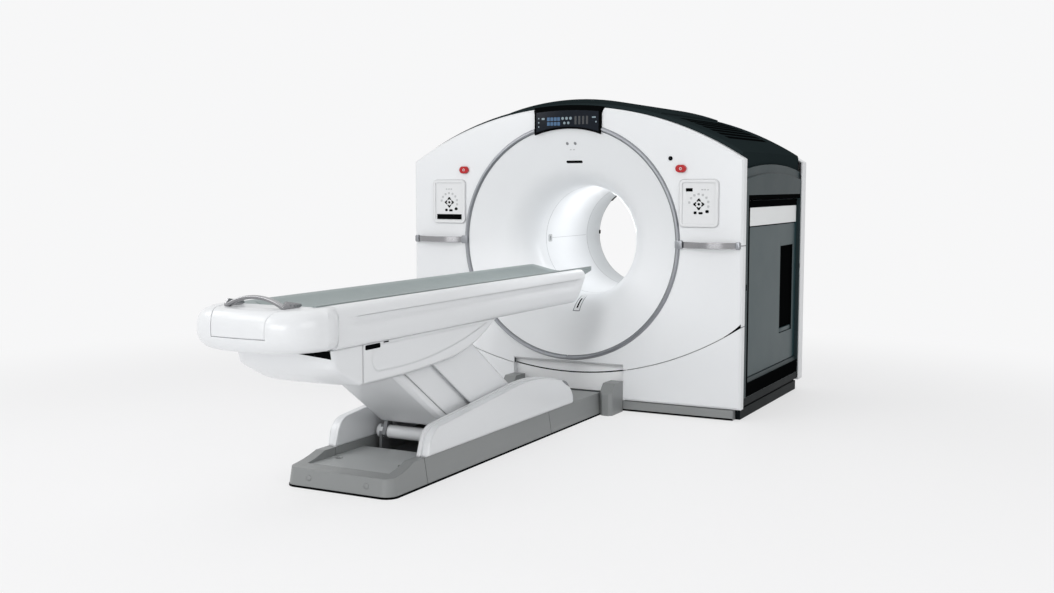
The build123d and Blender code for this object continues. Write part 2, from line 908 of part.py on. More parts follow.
with BuildPart() as ct_detector:
    detector_start = rotor_start - detector_length
    detector_outer = rotor_radius - detector_inset
    tilt = radians(detector_half_angle)
    reach = 2 * detector_outer
    wedge = polygon_face(
        facing(detector_start),
        ((0, bore_height), (-reach * sin(tilt), bore_height - reach * cos(tilt)),
         (reach * sin(tilt), bore_height - reach * cos(tilt))),
    )
    with BuildSketch(facing(detector_start)):
        add(ring_face(detector_start, detector_outer, detector_outer - detector_width))
        add(wedge, mode=Mode.INTERSECT)
    extrude(amount=-detector_length)
save(ct_detector, "ct_detector")

with BuildPart() as hv_generator:
    generator_x = rotor_radius - generator_inset - generator_width / 2
    with BuildSketch(facing(rotor_start - generator_length)):
        with Locations((-generator_x, bore_height), (generator_x, bore_height)):
            Rectangle(generator_width, generator_height)
    extrude(amount=-generator_length)
save(hv_generator, "hv_generator")

with BuildPart() as pet_ring:
    pet_inner = bore_radius + pet_clearance
    pet_outer = pet_inner + pet_width
    with BuildSketch(facing(window_start)):
        with Locations((0, bore_height)):
            RegularPolygon(pet_outer, pet_sides)
            RegularPolygon(pet_inner, pet_sides, major_radius=False, mode=Mode.SUBTRACT)
    extrude(amount=-window_length)
    leg_start = window_start + window_length / 2
    leg_depth = body_depth - base_rail - window_start
    leg_x = pet_outer - pet_leg
    extrude(box_face(facing(leg_start), leg_x, pet_outer, base_top, bore_height), amount=-leg_depth)
    extrude(box_face(facing(leg_start), -pet_outer, -leg_x, base_top, bore_height), amount=-leg_depth)
save(pet_ring, "pet_ring")

with BuildPart() as electronics_racks:
    rack_x = side_inside - rack_margin - rack_width / 2
    rack_y = face_y + rack_start + rack_depth / 2
    with BuildSketch(Plane.XY.offset(base_top)):
        with Locations((-rack_x, rack_y), (rack_x, rack_y)):
            Rectangle(rack_width, rack_depth)
    extrude(amount=bore_height - rack_drop - base_top)
save(electronics_racks, "electronics_racks")

# Table base: tapered shell around an open well, in three lengths
base_length = base_front - base_start
well_front = base_front - well_lip
tray_half = well_half + tray_overlap
with BuildPart() as base_shell:
    with BuildSketch() as base_plan:
        with Locations((0, ahead(base_start + base_length / 2))):
            Rectangle(2 * base_half, base_length)
        fillet(base_plan.vertices().group_by(Axis.Y)[0], base_round)
    extrude(amount=base_height, taper=base_taper)
    deck_end = (ahead(base_front - base_lip_length), base_height)
    with BuildSketch(Plane.YZ):
        with BuildLine():
            TangentArc((ahead(base_front), base_lip), deck_end, tangent=(1, 0))
            Polyline(
                deck_end, (deck_end[0], base_height + overrun),
                (ahead(base_front + overrun), base_height + overrun), (ahead(base_front + overrun), base_lip),
                (ahead(base_front), base_lip),
            )
        make_face()
    extrude(amount=2 * base_half, both=True, mode=Mode.SUBTRACT)
    well = box_face(Plane.XY, -well_half, well_half, ahead(well_front), ahead(well_rear))
    extrude(well, amount=base_height + overrun, mode=Mode.SUBTRACT)
    tray_room = box_face(
        Plane.XY, -tray_half, tray_half, ahead(base_front - tray_margin), ahead(base_start + tray_margin)
    )
    extrude(tray_room, amount=tray_thickness, mode=Mode.SUBTRACT)

cap_seam = base_front - cap_length
tail_seam = base_start + tail_length
for name, near, far in (
    ("base_cap", cap_seam + seam / 2, base_front + overrun),
    ("base_middle", tail_seam + seam / 2, cap_seam - seam / 2),
    ("base_rear", base_start - overrun, tail_seam - seam / 2),
):
    with BuildPart() as base_piece:
        add(base_shell.part)
        span = box_face(Plane.XY, -2 * base_half, 2 * base_half, ahead(far), ahead(near))
        extrude(span, amount=base_height, mode=Mode.INTERSECT)
    save(base_piece, name)

# Dark floor plate at the front of the well, with access to the anchors below it
anchor_front = base_front - table_anchor_front
anchor_rear = base_start + table_anchor_rear
with BuildPart() as well_floor:
    with BuildSketch(Plane.XY.offset(base_lip - well_plate)):
        plate_end = pivot_front + well_plate_reach
        add(box_face(Plane.XY, -well_half, well_half, ahead(well_front), ahead(plate_end)))
        with Locations((-table_anchor_x, ahead(anchor_front)), (table_anchor_x, ahead(anchor_front))):
            RegularPolygon(access_radius, access_sides, mode=Mode.SUBTRACT)
    extrude(amount=well_plate)
save(well_floor, "well_floor")



# Steel tray with anchor holes and the lugs of the lower pivots
def lug_face(start, y, z, foot):
    """Lug at a start in X, from a foot height to a little past its pivot."""
    tip = z + lug_half if z > foot else z - lug_half
    return polygon_face(Plane.YZ.offset(start), (
        (y - lug_half, foot), (y + lug_half, foot), (y + lug_half, z), (y + lug_cut, tip), (y - lug_cut, tip),
        (y - lug_half, z),
    ))


lower_places = [ahead(pivot_front), ahead(pivot_rear)]
with BuildPart() as table_tray:
    with BuildSketch():
        add(box_face(
            Plane.XY, -tray_half, tray_half, ahead(base_front - tray_margin), ahead(base_start + tray_margin)
        ))
        with Locations(*[(x, ahead(d)) for x in (-table_anchor_x, table_anchor_x)
                         for d in (anchor_front, anchor_rear)]):
            Circle(table_anchor_radius, mode=Mode.SUBTRACT)
    extrude(amount=tray_thickness)
    for start in (-lug_outer, lug_inner):
        for y in lower_places:
            extrude(lug_face(start, y, pivot_height, 0), amount=lug_thickness)
save(table_tray, "table_tray")

with BuildPart() as lower_shafts:
    with BuildSketch(Plane.YZ.offset(-lug_inner)):
        with Locations(*[(y, pivot_height) for y in lower_places]):
            Circle(shaft_radius)
    extrude(amount=2 * lug_inner)
save(lower_shafts, "lower_shafts")

# Geared lift drive in front of the rear pivot's shaft, with its motor lying in the well
with BuildPart() as lift_gearmotor:
    gear_rear = ahead(pivot_rear) - shaft_radius - gear_gap
    gear_front = gear_rear - gear_length
    gear_box = box_face(Plane.YZ, gear_front, gear_rear, tray_thickness, tray_thickness + gear_height)
    extrude(gear_box, amount=gear_half, both=True)
    chamfer(lift_gearmotor.edges().filter_by(Axis.X).group_by(Axis.Z)[-1], gear_bevel)
    motor = box_face(
        Plane.XZ.offset(-gear_front), -motor_half, motor_half, tray_thickness, tray_thickness + 2 * motor_half
    )
    extrude(motor, amount=motor_length)
save(lift_gearmotor, "lift_gearmotor")

# White leg covers along both sides of the well
leg_cover_front = pivot_front + leg_cover_reach
leg_cover_rear = pivot_rear - leg_cover_tail
leg_cover_length = leg_cover_front - leg_cover_rear
with BuildPart() as leg_covers:
    outline = [(ahead(leg_cover_front), base_height)]
    for along_share, height_share in leg_cover_shares:
        outline.append((ahead(leg_cover_front) + along_share * leg_cover_length,
                        base_height + height_share * leg_cover_height))
    outline.append((ahead(leg_cover_rear), base_height))
    with BuildSketch(Plane.YZ.offset(leg_cover_inner)) as cover_side:
        add(polygon_face(Plane.XY, outline))
        fillet([v for v in cover_side.vertices() if v.Y > base_height], leg_cover_round)
    extrude(amount=leg_cover_width)
    rim = leg_covers.faces().sort_by(Axis.X)[-1].edges().sort_by(Axis.Z)[1:]
    chamfer(rim, leg_cover_bevel)
    mirror(about=Plane.YZ)
save(leg_covers, "leg_covers")

# Stepped docking brackets between the base and the gantry
with BuildPart() as dock_brackets:
    bracket = polygon_face(
        Plane.YZ.offset(base_half),
        ((ahead(0), 0), (ahead(bracket_depth), 0), (ahead(bracket_depth), bracket_height - bracket_step),
         (ahead(bracket_depth - bracket_step), bracket_height), (ahead(0), bracket_height)),
    )
    extrude(bracket, amount=bracket_width)
    chamfer(dock_brackets.edges().filter_by(Axis.Z).sort_by(Axis.Y)[:2], bracket_bevel)
    mirror(about=Plane.YZ)
save(dock_brackets, "dock_brackets")


# Arms of the parallelogram lift
def arm_plates(pivot, inner_edge, outer_edge, start, end):
    """Side plate of an arm with an eye at each pivot."""
    places = (
        (-eye_radius, -eye_cut), (-eye_cut, -eye_radius), (eye_radius, -eye_radius), (start, inner_edge),
        (end, inner_edge), (arm_reach, arm_rise - eye_radius), (arm_reach + eye_cut, arm_rise - eye_radius),
        (arm_reach + eye_radius, arm_rise - eye_cut), (arm_reach + eye_radius, arm_rise + eye_cut),
        (arm_reach + eye_cut, arm_rise + eye_radius), (arm_reach, arm_rise + eye_radius), (end, outer_edge),
        (start, outer_edge), (0, eye_radius), (-eye_cut, eye_radius), (-eye_radius, eye_cut),
    )
    outline = [arm_point(pivot, along, across) for along, across in places]
    with BuildSketch(Plane.YZ, mode=Mode.PRIVATE) as plates:
        add(polygon_face(Plane.XY, outline))
        with Locations(arm_point(pivot, 0, 0), arm_point(pivot, arm_reach, arm_rise)):
            Circle(shaft_radius + running_gap, mode=Mode.SUBTRACT)
    return plates.sketch


def arm_tie_face(pivot, along, across):
    """Section of the square bar that ties an arm's two plates."""
    near = along - arm_tie / 2
    far = along + arm_tie / 2
    points = ((near, across - arm_tie / 2), (far, across - arm_tie / 2), (far, across + arm_tie / 2),
              (near, across + arm_tie / 2))
    return polygon_face(Plane.YZ, [arm_point(pivot, a, b) for a, b in points])


between_plates = box_face(Plane.XZ, -(arm_outer - arm_plate), arm_outer - arm_plate, 0, cradle_height)
front_inner = front_face + skin
front_skin_length = along_leg(front_face, hull_bottom + front_tuck)
with BuildPart() as front_arm:
    arm_start = front_skin_start - seam / 2
    plates = arm_plates(pivot_front, front_inner, front_inner + arm_width, arm_start, front_skin_length)
    extrude(plates, amount=arm_outer, both=True)
    extrude(between_plates, amount=table_reach, both=True, mode=Mode.SUBTRACT)
    tie = arm_tie_face(pivot_front, front_skin_length / 2, front_inner + arm_width / 2)
    extrude(tie, amount=arm_outer - arm_plate / 2, both=True)
save(front_arm, "front_arm")

mid_far = front_face + front_band + mid_band
rear_near = mid_far - pivot_spacing * arm_back[0]
rear_far = rear_near + rear_band
with BuildPart() as rear_arm:
    plates = arm_plates(pivot_rear, -arm_width / 2, rear_far - skin, arm_width, arm_reach / 2)
    extrude(plates, amount=arm_outer, both=True)
    extrude(between_plates, amount=table_reach, both=True, mode=Mode.SUBTRACT)
    tie = arm_tie_face(pivot_rear, arm_reach / 2, arm_width / 2)
    extrude(tie, amount=arm_outer - arm_plate / 2, both=True)
save(rear_arm, "rear_arm")


def leg_side(pivot, points):
    """Side view of a leg cover, from places along and across the leg."""
    return polygon_face(Plane.YZ, [arm_point(pivot, along, across) for along, across in points])


leg_line = Axis((0, 0, 0), (0, arm_up[0], arm_up[1]))

# Front cover of the leg: a channel round the front arm with rounded front corners
with BuildPart() as front_arm_cover:
    far = front_face + front_band - seam / 2
    outer = leg_side(pivot_front, (
        (front_skin_start, front_face), (front_skin_length, front_face),
        (front_skin_length - front_band, far), (front_skin_start, far),
    ))
    extrude(outer, amount=front_skin_half, both=True)
    front_corners = front_arm_cover.edges().filter_by(leg_line).sort_by(SortBy.LENGTH)[-2:]
    chamfer(front_corners, front_round)
    room = leg_side(pivot_front, (
        (-overrun, front_inner), (arm_reach, front_inner), (arm_reach, mid_far), (-overrun, mid_far),
    ))
    extrude(room, amount=front_skin_half - front_round, both=True, mode=Mode.SUBTRACT)
    behind_corner = leg_side(pivot_front, (
        (-overrun, front_face + front_round), (arm_reach, front_face + front_round),
        (arm_reach, mid_far), (-overrun, mid_far),
    ))
    extrude(behind_corner, amount=front_skin_half - skin, both=True, mode=Mode.SUBTRACT)
save(front_arm_cover, "front_arm_cover")

# Middle panels of the leg, carried by the front arm behind the front cover
leg_low = pivot_height - tray_thickness
with BuildPart() as leg_mid_panels:
    near = front_face + front_band + seam / 2
    back = mid_far + mid_overlap
    outer = leg_side(pivot_front, (
        (along_leg(near, leg_low), near), (front_skin_length - front_band, near),
        (front_skin_length - front_band - mid_band, back), (along_leg(back, leg_low), back),
    ))
    extrude(outer, amount=front_skin_half, both=True)
    room = leg_side(pivot_front, (
        (-arm_reach, front_inner), (2 * arm_reach, front_inner), (2 * arm_reach, 2 * mid_far),
        (-arm_reach, 2 * mid_far),
    ))
    extrude(room, amount=front_skin_half - skin, both=True, mode=Mode.SUBTRACT)
    web_start = front_skin_length / 2
    web = leg_side(pivot_front, (
        (web_start, near), (web_start + skin, near), (web_start + skin, near + arm_width / 2),
        (web_start, near + arm_width / 2),
    ))
    extrude(web, amount=front_skin_half, both=True)
    extrude(web, amount=arm_outer, both=True, mode=Mode.SUBTRACT)
save(leg_mid_panels, "leg_mid_panels")

# Rear cover of the leg: a wider channel round the rear arm, open towards the front
with BuildPart() as rear_arm_cover:
    top_front = along_leg(rear_near, hull_bottom + leg_tuck)
    top_rear = along_leg(rear_far, hull_bottom + leg_tuck + leg_rear_rise)
    outer = leg_side(pivot_rear, (
        (along_leg(rear_near, leg_low), rear_near), (top_front, rear_near), (top_rear, rear_far),
        (along_leg(rear_far, leg_low), rear_far),
    ))
    extrude(outer, amount=rear_skin_half, both=True)
    back_corners = rear_arm_cover.edges().filter_by(leg_line).sort_by(SortBy.LENGTH)[-2:]
    chamfer(back_corners, leg_round)
    inner_far = rear_far - leg_round
    room = leg_side(pivot_rear, (
        (-arm_reach, rear_near - overrun), (2 * arm_reach, rear_near - overrun), (2 * arm_reach, inner_far),
        (-arm_reach, inner_far),
    ))
    extrude(room, amount=rear_skin_half - skin, both=True, mode=Mode.SUBTRACT)
    back_room = leg_side(pivot_rear, (
        (-arm_reach, rear_near - overrun), (2 * arm_reach, rear_near - overrun),
        (2 * arm_reach, rear_far - skin), (-arm_reach, rear_far - skin),
    ))
    extrude(back_room, amount=rear_skin_half - leg_round, both=True, mode=Mode.SUBTRACT)
save(rear_arm_cover, "rear_arm_cover")

# Table chassis: two rails with skirts, bridges and the lugs of the upper pivots
hull_front_end = side_front + hull_front_lap
hull_rear_end = hull_front_end - hull_length
hull_seam = side_front - hull_seam_inset
rail_outer = hull_half - hull_wall
rail_inner = rail_outer - chassis_rail
rail_top = cradle_bottom - slide_gap
chassis_end = side_front - chassis_front
upper_places = [ahead(upper_front), ahead(upper_front) + pivot_spacing]
with BuildPart() as chassis:
    rail = box_face(Plane.XZ.offset(-ahead(chassis_rear)), rail_inner, rail_outer, chassis_bottom, rail_top)
    extrude(rail, amount=chassis_end - chassis_rear)
    skirt_rear = hull_rear_end + skirt_margin
    skirt = box_face(
        Plane.XZ.offset(-ahead(skirt_rear)), rail_outer - chassis_plate, rail_outer,
        side_bottom - chassis_skirt, chassis_bottom,
    )
    extrude(skirt, amount=chassis_end - skirt_rear)
    mirror(about=Plane.YZ)
    end_places = [ahead(chassis_end - chassis_bridge / 2), ahead(chassis_rear + chassis_bridge / 2)]
    with BuildSketch(Plane.XY.offset(chassis_bottom)):
        with Locations(*[(0, y) for y in upper_places + end_places]):
            Rectangle(2 * rail_inner, chassis_bridge)
    extrude(amount=chassis_plate)
    for start in (-lug_outer, lug_inner):
        for y in upper_places:
            extrude(lug_face(start, y, upper_height, chassis_bottom), amount=lug_thickness)
save(chassis, "chassis")

with BuildPart() as upper_shafts:
    with BuildSketch(Plane.YZ.offset(-lug_inner)):
        with Locations(*[(y, upper_height) for y in upper_places]):
            Circle(shaft_radius)
    extrude(amount=2 * lug_inner)
save(upper_shafts, "upper_shafts")


# Hull under the table: a tub with a curved keel, open for the leg
def hull_profile(lift):
    """Side view of the hull, raised by an amount."""
    lip = side_bottom - hull_lip + lift
    bottom = hull_bottom + lift
    belly_front = ahead(hull_front_end) + hull_nose_length
    belly_rear = belly_front + hull_belly_length
    keel = (belly_rear + hull_keel_length, bottom + hull_keel_rise)
    tip = (ahead(hull_front_end), lip)
    tail = (ahead(hull_rear_end), lip)
    with BuildSketch(Plane.YZ, mode=Mode.PRIVATE) as profile:
        with BuildLine():
            TangentArc((belly_front, bottom), tip, tangent=(-1, 0))
            Line((belly_front, bottom), (belly_rear, bottom))
            flat = TangentArc((belly_rear, bottom), keel, tangent=(1, 0))
            TangentArc(keel, tail, tangent=flat % 1)
            Polyline(tail, (tail[0], side_bottom + lift), (tip[0], side_bottom + lift), tip)
        make_face()
    return profile.sketch


with BuildPart() as hull:
    extrude(hull_profile(0), amount=hull_half, both=True)
    side_faces = hull.faces().filter_by(Axis.X)
    chamfer([e for e in side_faces.edges() if e.center().Z < side_bottom - hull_lip], hull_bevel)
    extrude(hull_profile(hull_wall), amount=hull_half - hull_wall, both=True, mode=Mode.SUBTRACT)
    way_half = hull_half - hull_bevel
    leg_way = box_face(Plane.XY, -way_half, way_half, ahead(hull_seam), ahead(hull_rear_end - overrun))
    extrude(leg_way, amount=side_bottom, mode=Mode.SUBTRACT)
    head_top, head_mid, head_low, belly_mid, tail_top = [
        (ahead(hull_seam) + along_share * (hull_seam - hull_rear_end), hull_bottom + up_share * hull_depth)
        for along_share, up_share in hull_recess_shares
    ]
    for side in (-1, 1):
        with BuildSketch(Plane.YZ.offset(side * hull_half)):
            with BuildLine():
                ThreePointArc(head_top, head_mid, head_low)
                ThreePointArc(head_low, belly_mid, tail_top)
                Line(tail_top, head_top)
            make_face()
        extrude(amount=-side * recess_depth, mode=Mode.SUBTRACT)

for name, near, far in (
    ("hull_front", hull_seam + seam / 2, hull_front_end + overrun),
    ("hull_rear", hull_rear_end - overrun, hull_seam - seam / 2),
):
    with BuildPart() as hull_piece:
        add(hull.part)
        span = box_face(Plane.XY, -2 * hull_half, 2 * hull_half, ahead(far), ahead(near))
        extrude(span, amount=side_bottom, mode=Mode.INTERSECT)
    save(hull_piece, name)

# Side covers of the table: shouldered channels with a long groove and a slanted end
with BuildPart() as side_covers:
    section = Plane.XZ.offset(-ahead(side_rear - overrun))
    cover_length = side_front - side_rear + overrun
    shoulder = side_top - side_shoulder
    outline = polygon_face(section, (
        (side_inner, side_top), (side_inner + side_ledge, side_top), (side_half, shoulder),
        (side_half, side_bottom + side_tuck_height), (side_half - side_tuck, side_bottom),
        (side_inner, side_bottom),
    ))
    extrude(outline, amount=cover_length)
    room = polygon_face(section, (
        (side_inner - overrun, side_top - side_wall),
        (side_inner + side_ledge - side_wall / 2, side_top - side_wall),
        (side_half - side_wall, shoulder - side_wall / 2),
        (side_half - side_wall, side_bottom + side_tuck_height),
        (side_half - side_tuck - side_wall, side_bottom + side_wall),
        (side_inner - overrun, side_bottom + side_wall),
    ))
    extrude(room, amount=cover_length, mode=Mode.SUBTRACT)
    shelf = box_face(
        section, side_inner - overrun, rail_outer, side_bottom - overrun, side_bottom + 2 * side_wall
    )
    extrude(shelf, amount=cover_length, mode=Mode.SUBTRACT)
    slant = polygon_face(Plane.YZ, (
        (ahead(side_rear + side_slant), side_bottom), (ahead(side_rear), side_top),
        (ahead(side_rear), side_top + overrun), (ahead(side_rear - 2 * overrun), side_top + overrun),
        (ahead(side_rear - 2 * overrun), side_bottom - overrun),
        (ahead(side_rear + side_slant), side_bottom - overrun),
    ))
    extrude(slant, amount=2 * side_half, both=True, mode=Mode.SUBTRACT)
    groove_low_edge = side_bottom + groove_rise
    with BuildSketch(Plane.YZ.offset(side_half)) as groove:
        add(box_face(
            Plane.XY, ahead(side_front - groove_front), ahead(side_rear + groove_rear), groove_low_edge,
            groove_low_edge + groove_height,
        ))
        chamfer(groove.vertices(), groove_cut)
    extrude(amount=-groove_depth, mode=Mode.SUBTRACT)
    mirror(about=Plane.YZ)
save(side_covers, "side_covers")

# Plate that closes the table's gantry end under the cradle
with BuildPart() as end_cover:
    plate = box_face(
        Plane.XZ.offset(-ahead(chassis_rear)), -rail_outer, rail_outer, chassis_bottom - chassis_skirt,
        rail_top,
    )
    extrude(plate, amount=-end_cover_wall)
save(end_cover, "end_cover")


# Rounded nose at the foot end, with a notch for the cradle's foot
def nose_block(inset):
    """Nose body behind its rounded front, smaller on every side by an inset."""
    back_half = side_half - inset
    belly_half = back_half + nose_bulge
    front_half = belly_half - nose_front_inset
    front_y = ahead(table_reach - inset)
    right = [(back_half, ahead(side_front)), (belly_half, ahead(side_front + nose_belly)),
             (front_half, front_y + nose_bow)]
    left = [(-x, y) for x, y in reversed(right)]
    with BuildPart(mode=Mode.PRIVATE) as block:
        with BuildSketch(Plane.XY.offset(nose_bottom + inset)) as plan:
            with BuildLine():
                Polyline(*right)
                ThreePointArc(right[-1], (0, front_y), left[0])
                Polyline(*left, right[0])
            make_face()
            corners = [v for v in plan.vertices() if v.Y < ahead(side_front + nose_belly)]
            fillet(corners, nose_corner - inset)
        extrude(amount=side_top - nose_bottom - 2 * inset)
        for face in (block.faces().sort_by(Axis.Z)[0], block.faces().sort_by(Axis.Z)[-1]):
            chamfer(face.edges().sort_by(Axis.Y)[:-1], nose_bevel)
    return block.part


def notch_block(gap):
    """Space of the cradle's foot in the nose, narrowed by a gap on each side."""
    front_half = notch_front_half - gap
    back_half = cradle_half + notch_margin - gap
    front = ahead(table_reach + overrun)
    bend = ahead(table_reach - notch_back)
    back = ahead(side_front - overrun)
    outline = ((-front_half, front), (front_half, front), (back_half, bend), (back_half, back),
               (-back_half, back), (-back_half, bend))
    with BuildPart(mode=Mode.PRIVATE) as block:
        extrude(polygon_face(Plane.XY.offset(nose_bottom + notch_rise + gap), outline), amount=side_height)
    return block.part


with BuildPart() as nose_cover:
    add(nose_block(0))
    add(nose_block(nose_wall), mode=Mode.SUBTRACT)
    back_room = box_face(
        Plane.XZ.offset(-ahead(side_front)), -rail_outer, rail_outer, nose_bottom + nose_wall,
        side_top - nose_wall,
    )
    extrude(back_room, amount=nose_wall, mode=Mode.SUBTRACT)
    add(notch_block(0), mode=Mode.SUBTRACT)
save(nose_cover, "nose_cover")

# Cradle with a shallow trough, its pad and its foot
lip_x = cradle_half - cradle_lip
with BuildPart() as cradle:
    edge_z = cradle_height - cradle_edge
    with BuildSketch(Plane.XZ.offset(-ahead(cradle_tip))):
        with BuildLine():
            Polyline(
                (lip_x, cradle_height), (cradle_half, cradle_height), (cradle_half, edge_z),
                (cradle_keel, cradle_bottom), (-cradle_keel, cradle_bottom), (-cradle_half, edge_z),
                (-cradle_half, cradle_height), (-lip_x, cradle_height),
            )
            ThreePointArc((-lip_x, cradle_height), (0, cradle_height - cradle_trough), (lip_x, cradle_height))
        make_face()
    extrude(amount=cradle_foot_end - cradle_tip)
    with BuildSketch() as cradle_plan:
        add(box_face(Plane.XY, -cradle_half, cradle_half, ahead(cradle_foot_end), ahead(cradle_tip)))
        fillet(cradle_plan.vertices().group_by(Axis.Y)[-1], cradle_round)
    extrude(amount=cradle_height, mode=Mode.INTERSECT)
save(cradle, "cradle")

with BuildPart() as cradle_pad:
    pad_x = lip_x - pad_margin
    trough_low = cradle_height - cradle_trough
    trough_radius = (lip_x**2 + cradle_trough**2) / (2 * cradle_trough)
    pad_edge = trough_low + trough_radius - sqrt(trough_radius**2 - pad_x**2)
    with BuildSketch(Plane.XZ.offset(-ahead(cradle_tip + cradle_round))):
        with BuildLine():
            ThreePointArc((-pad_x, pad_edge), (0, trough_low), (pad_x, pad_edge))
            ThreePointArc((pad_x, pad_edge), (0, trough_low + pad_thickness), (-pad_x, pad_edge))
        make_face()
    extrude(amount=cradle_foot_end - cradle_tip - 2 * cradle_round)
save(cradle_pad, "cradle_pad")

arch_z = side_top + arch_lift
arch_y = ahead(table_reach - arch_setback)
arch_pivot_y = arch_y + arch_sweep
with BuildPart() as cradle_foot:
    add(nose_block(0))
    add(notch_block(notch_gap), mode=Mode.INTERSECT)
    under_front = ahead(table_reach - foot_shell)
    under = box_face(Plane.XY, -side_half, side_half, under_front, ahead(side_front - overrun))
    extrude(under, amount=cradle_bottom, mode=Mode.SUBTRACT)
    behind = box_face(Plane.XY, -side_half, side_half, ahead(cradle_foot_end), ahead(side_front - overrun))
    extrude(behind, amount=2 * cradle_height, mode=Mode.SUBTRACT)
    for side in (-1, 1):
        lug_x = side * (arch_half - arch_plate / 2 - slide_gap - arch_lug / 2)
        with BuildSketch(Plane.YZ.offset(lug_x)):
            add(box_face(
                Plane.XY, arch_pivot_y - arch_plate_height / 2, arch_pivot_y + arch_plate_height / 2,
                side_top - arch_lift, arch_z + arch_plate_height / 2,
            ))
        extrude(amount=arch_lug / 2, both=True)
        with BuildSketch(Plane.YZ.offset(side * arch_half)):
            with Locations((arch_pivot_y, arch_z)):
                Circle(arch_pin_radius)
        extrude(amount=arch_lug, both=True)
save(cradle_foot, "cradle_foot")

# Arched release handle: a bowed band between two swept side plates on pivot pins
with BuildPart() as release_handle:
    inner_half = arch_half - arch_band
    arch_top = arch_z + arch_height
    with BuildSketch(Plane.XZ.offset(-(arch_y + arch_depth / 2))):
        with BuildLine():
            ThreePointArc((-arch_half, arch_z), (0, arch_top), (arch_half, arch_z))
            Line((arch_half, arch_z), (inner_half, arch_z))
            ThreePointArc((inner_half, arch_z), (0, arch_top - arch_band), (-inner_half, arch_z))
            Line((-inner_half, arch_z), (-arch_half, arch_z))
        make_face()
    extrude(amount=arch_depth)
    plate_half = arch_plate_height / 2
    plate_low = arch_z - plate_half
    for side in (-1, 1):
        with BuildSketch(Plane.YZ.offset(side * arch_half)):
            add(polygon_face(Plane.XY, (
                (arch_y - arch_depth / 2, plate_low), (arch_pivot_y, plate_low),
                (arch_pivot_y + plate_half, arch_z - plate_half / 2),
                (arch_pivot_y + plate_half, arch_z + plate_half / 2), (arch_pivot_y, arch_z + plate_half),
                (arch_y, arch_z + arch_plate_height), (arch_y - arch_depth / 2, arch_z),
            )))
            with Locations((arch_pivot_y, arch_z)):
                Circle(arch_pin_radius + running_gap, mode=Mode.SUBTRACT)
        extrude(amount=arch_plate / 2, both=True)
save(release_handle, "release_handle")
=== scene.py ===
"""Finishes, trim and studio for the PET-CT scanner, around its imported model, in metres."""
import json
from math import cos, pi, radians, sin, sqrt, tan

import bmesh
import bpy
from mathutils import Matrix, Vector


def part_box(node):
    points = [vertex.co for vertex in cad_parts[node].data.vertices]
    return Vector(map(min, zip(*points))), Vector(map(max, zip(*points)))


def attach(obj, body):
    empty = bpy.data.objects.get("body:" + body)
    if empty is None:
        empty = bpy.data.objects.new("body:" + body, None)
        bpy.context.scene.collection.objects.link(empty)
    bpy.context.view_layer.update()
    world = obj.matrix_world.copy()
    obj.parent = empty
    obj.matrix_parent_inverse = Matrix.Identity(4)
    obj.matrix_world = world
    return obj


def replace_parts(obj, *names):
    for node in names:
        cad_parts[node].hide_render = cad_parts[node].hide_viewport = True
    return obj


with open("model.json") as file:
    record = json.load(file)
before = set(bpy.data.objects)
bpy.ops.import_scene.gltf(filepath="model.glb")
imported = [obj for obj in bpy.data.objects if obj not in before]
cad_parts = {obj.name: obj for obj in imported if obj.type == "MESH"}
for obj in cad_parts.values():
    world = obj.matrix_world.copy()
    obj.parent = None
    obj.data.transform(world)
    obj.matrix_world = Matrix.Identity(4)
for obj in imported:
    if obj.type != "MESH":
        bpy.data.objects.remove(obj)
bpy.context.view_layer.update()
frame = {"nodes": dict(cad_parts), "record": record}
nodes = frame["nodes"]

# Camera, fitted to the photograph
CAMERA_PLACE = (3.24467, -5.922, 1.39837)
CAMERA_TURN = (radians(84.65), 0, radians(27.6))
CAMERA_LENS = 40.975
CAMERA_SENSOR = 36

# Studio
BACKGROUND = (0.93, 0.93, 0.935, 1)
SURROUND_LIGHT = 0.5
FLOOR_HALF = 30
FLOOR_ROUGHNESS = 0.6
FLOOR_NEAR, FLOOR_FAR = 2.5, 5.5
FLOOR_GLOW_NEAR, FLOOR_GLOW_FAR = 0.65, 1.0
BOWL_PLACE, BOWL_AIM = (0.7, -2.2, 2.3), (0.05, 0.95, 0.45)
BOWL_CONE, BOWL_POWER, BOWL_SOFTNESS = 30, 130, 0.35
BORE_POWER, BORE_SOFTNESS, BORE_RAISE = 2.6, 0.12, 0.12
# Soft lamps: place, turn in degrees, width and length, power
LAMPS = {
    "key_lamp": ((-3.5, -6, 5.5), (52, 0, -28), (4, 3), 86),
    "front_lamp": ((0.5, -9, 2.4), (84, 0, 0), (5, 3), 172),
    "fill_lamp": ((6, -3, 3.5), (62, 0, 65), (4, 3), 78),
    "funnel_lamp": ((-2.4, -2.2, 2.5), (70, 0, -38), (1.4, 1.0), 16),
    "top_lamp": ((0, 0, 6), (0, 0, 0), (6, 8), 76),
}

# A size in brackets is width, height and corner radius, some with the steps of a corner after them

# Heights of thin trim over the surface that it lies on
FILM, HAIR, PRINT, INSERT, KEY, LATCH = 0.0004, 0.0005, 0.0006, 0.0008, 0.0012, 0.0014
# Softened edges of thin trim, and the angle in degrees from which an edge of a shell is sharp
FINE_EDGE, SMALL_EDGE, SHELL_SHARP = 0.0003, 0.0004, 50

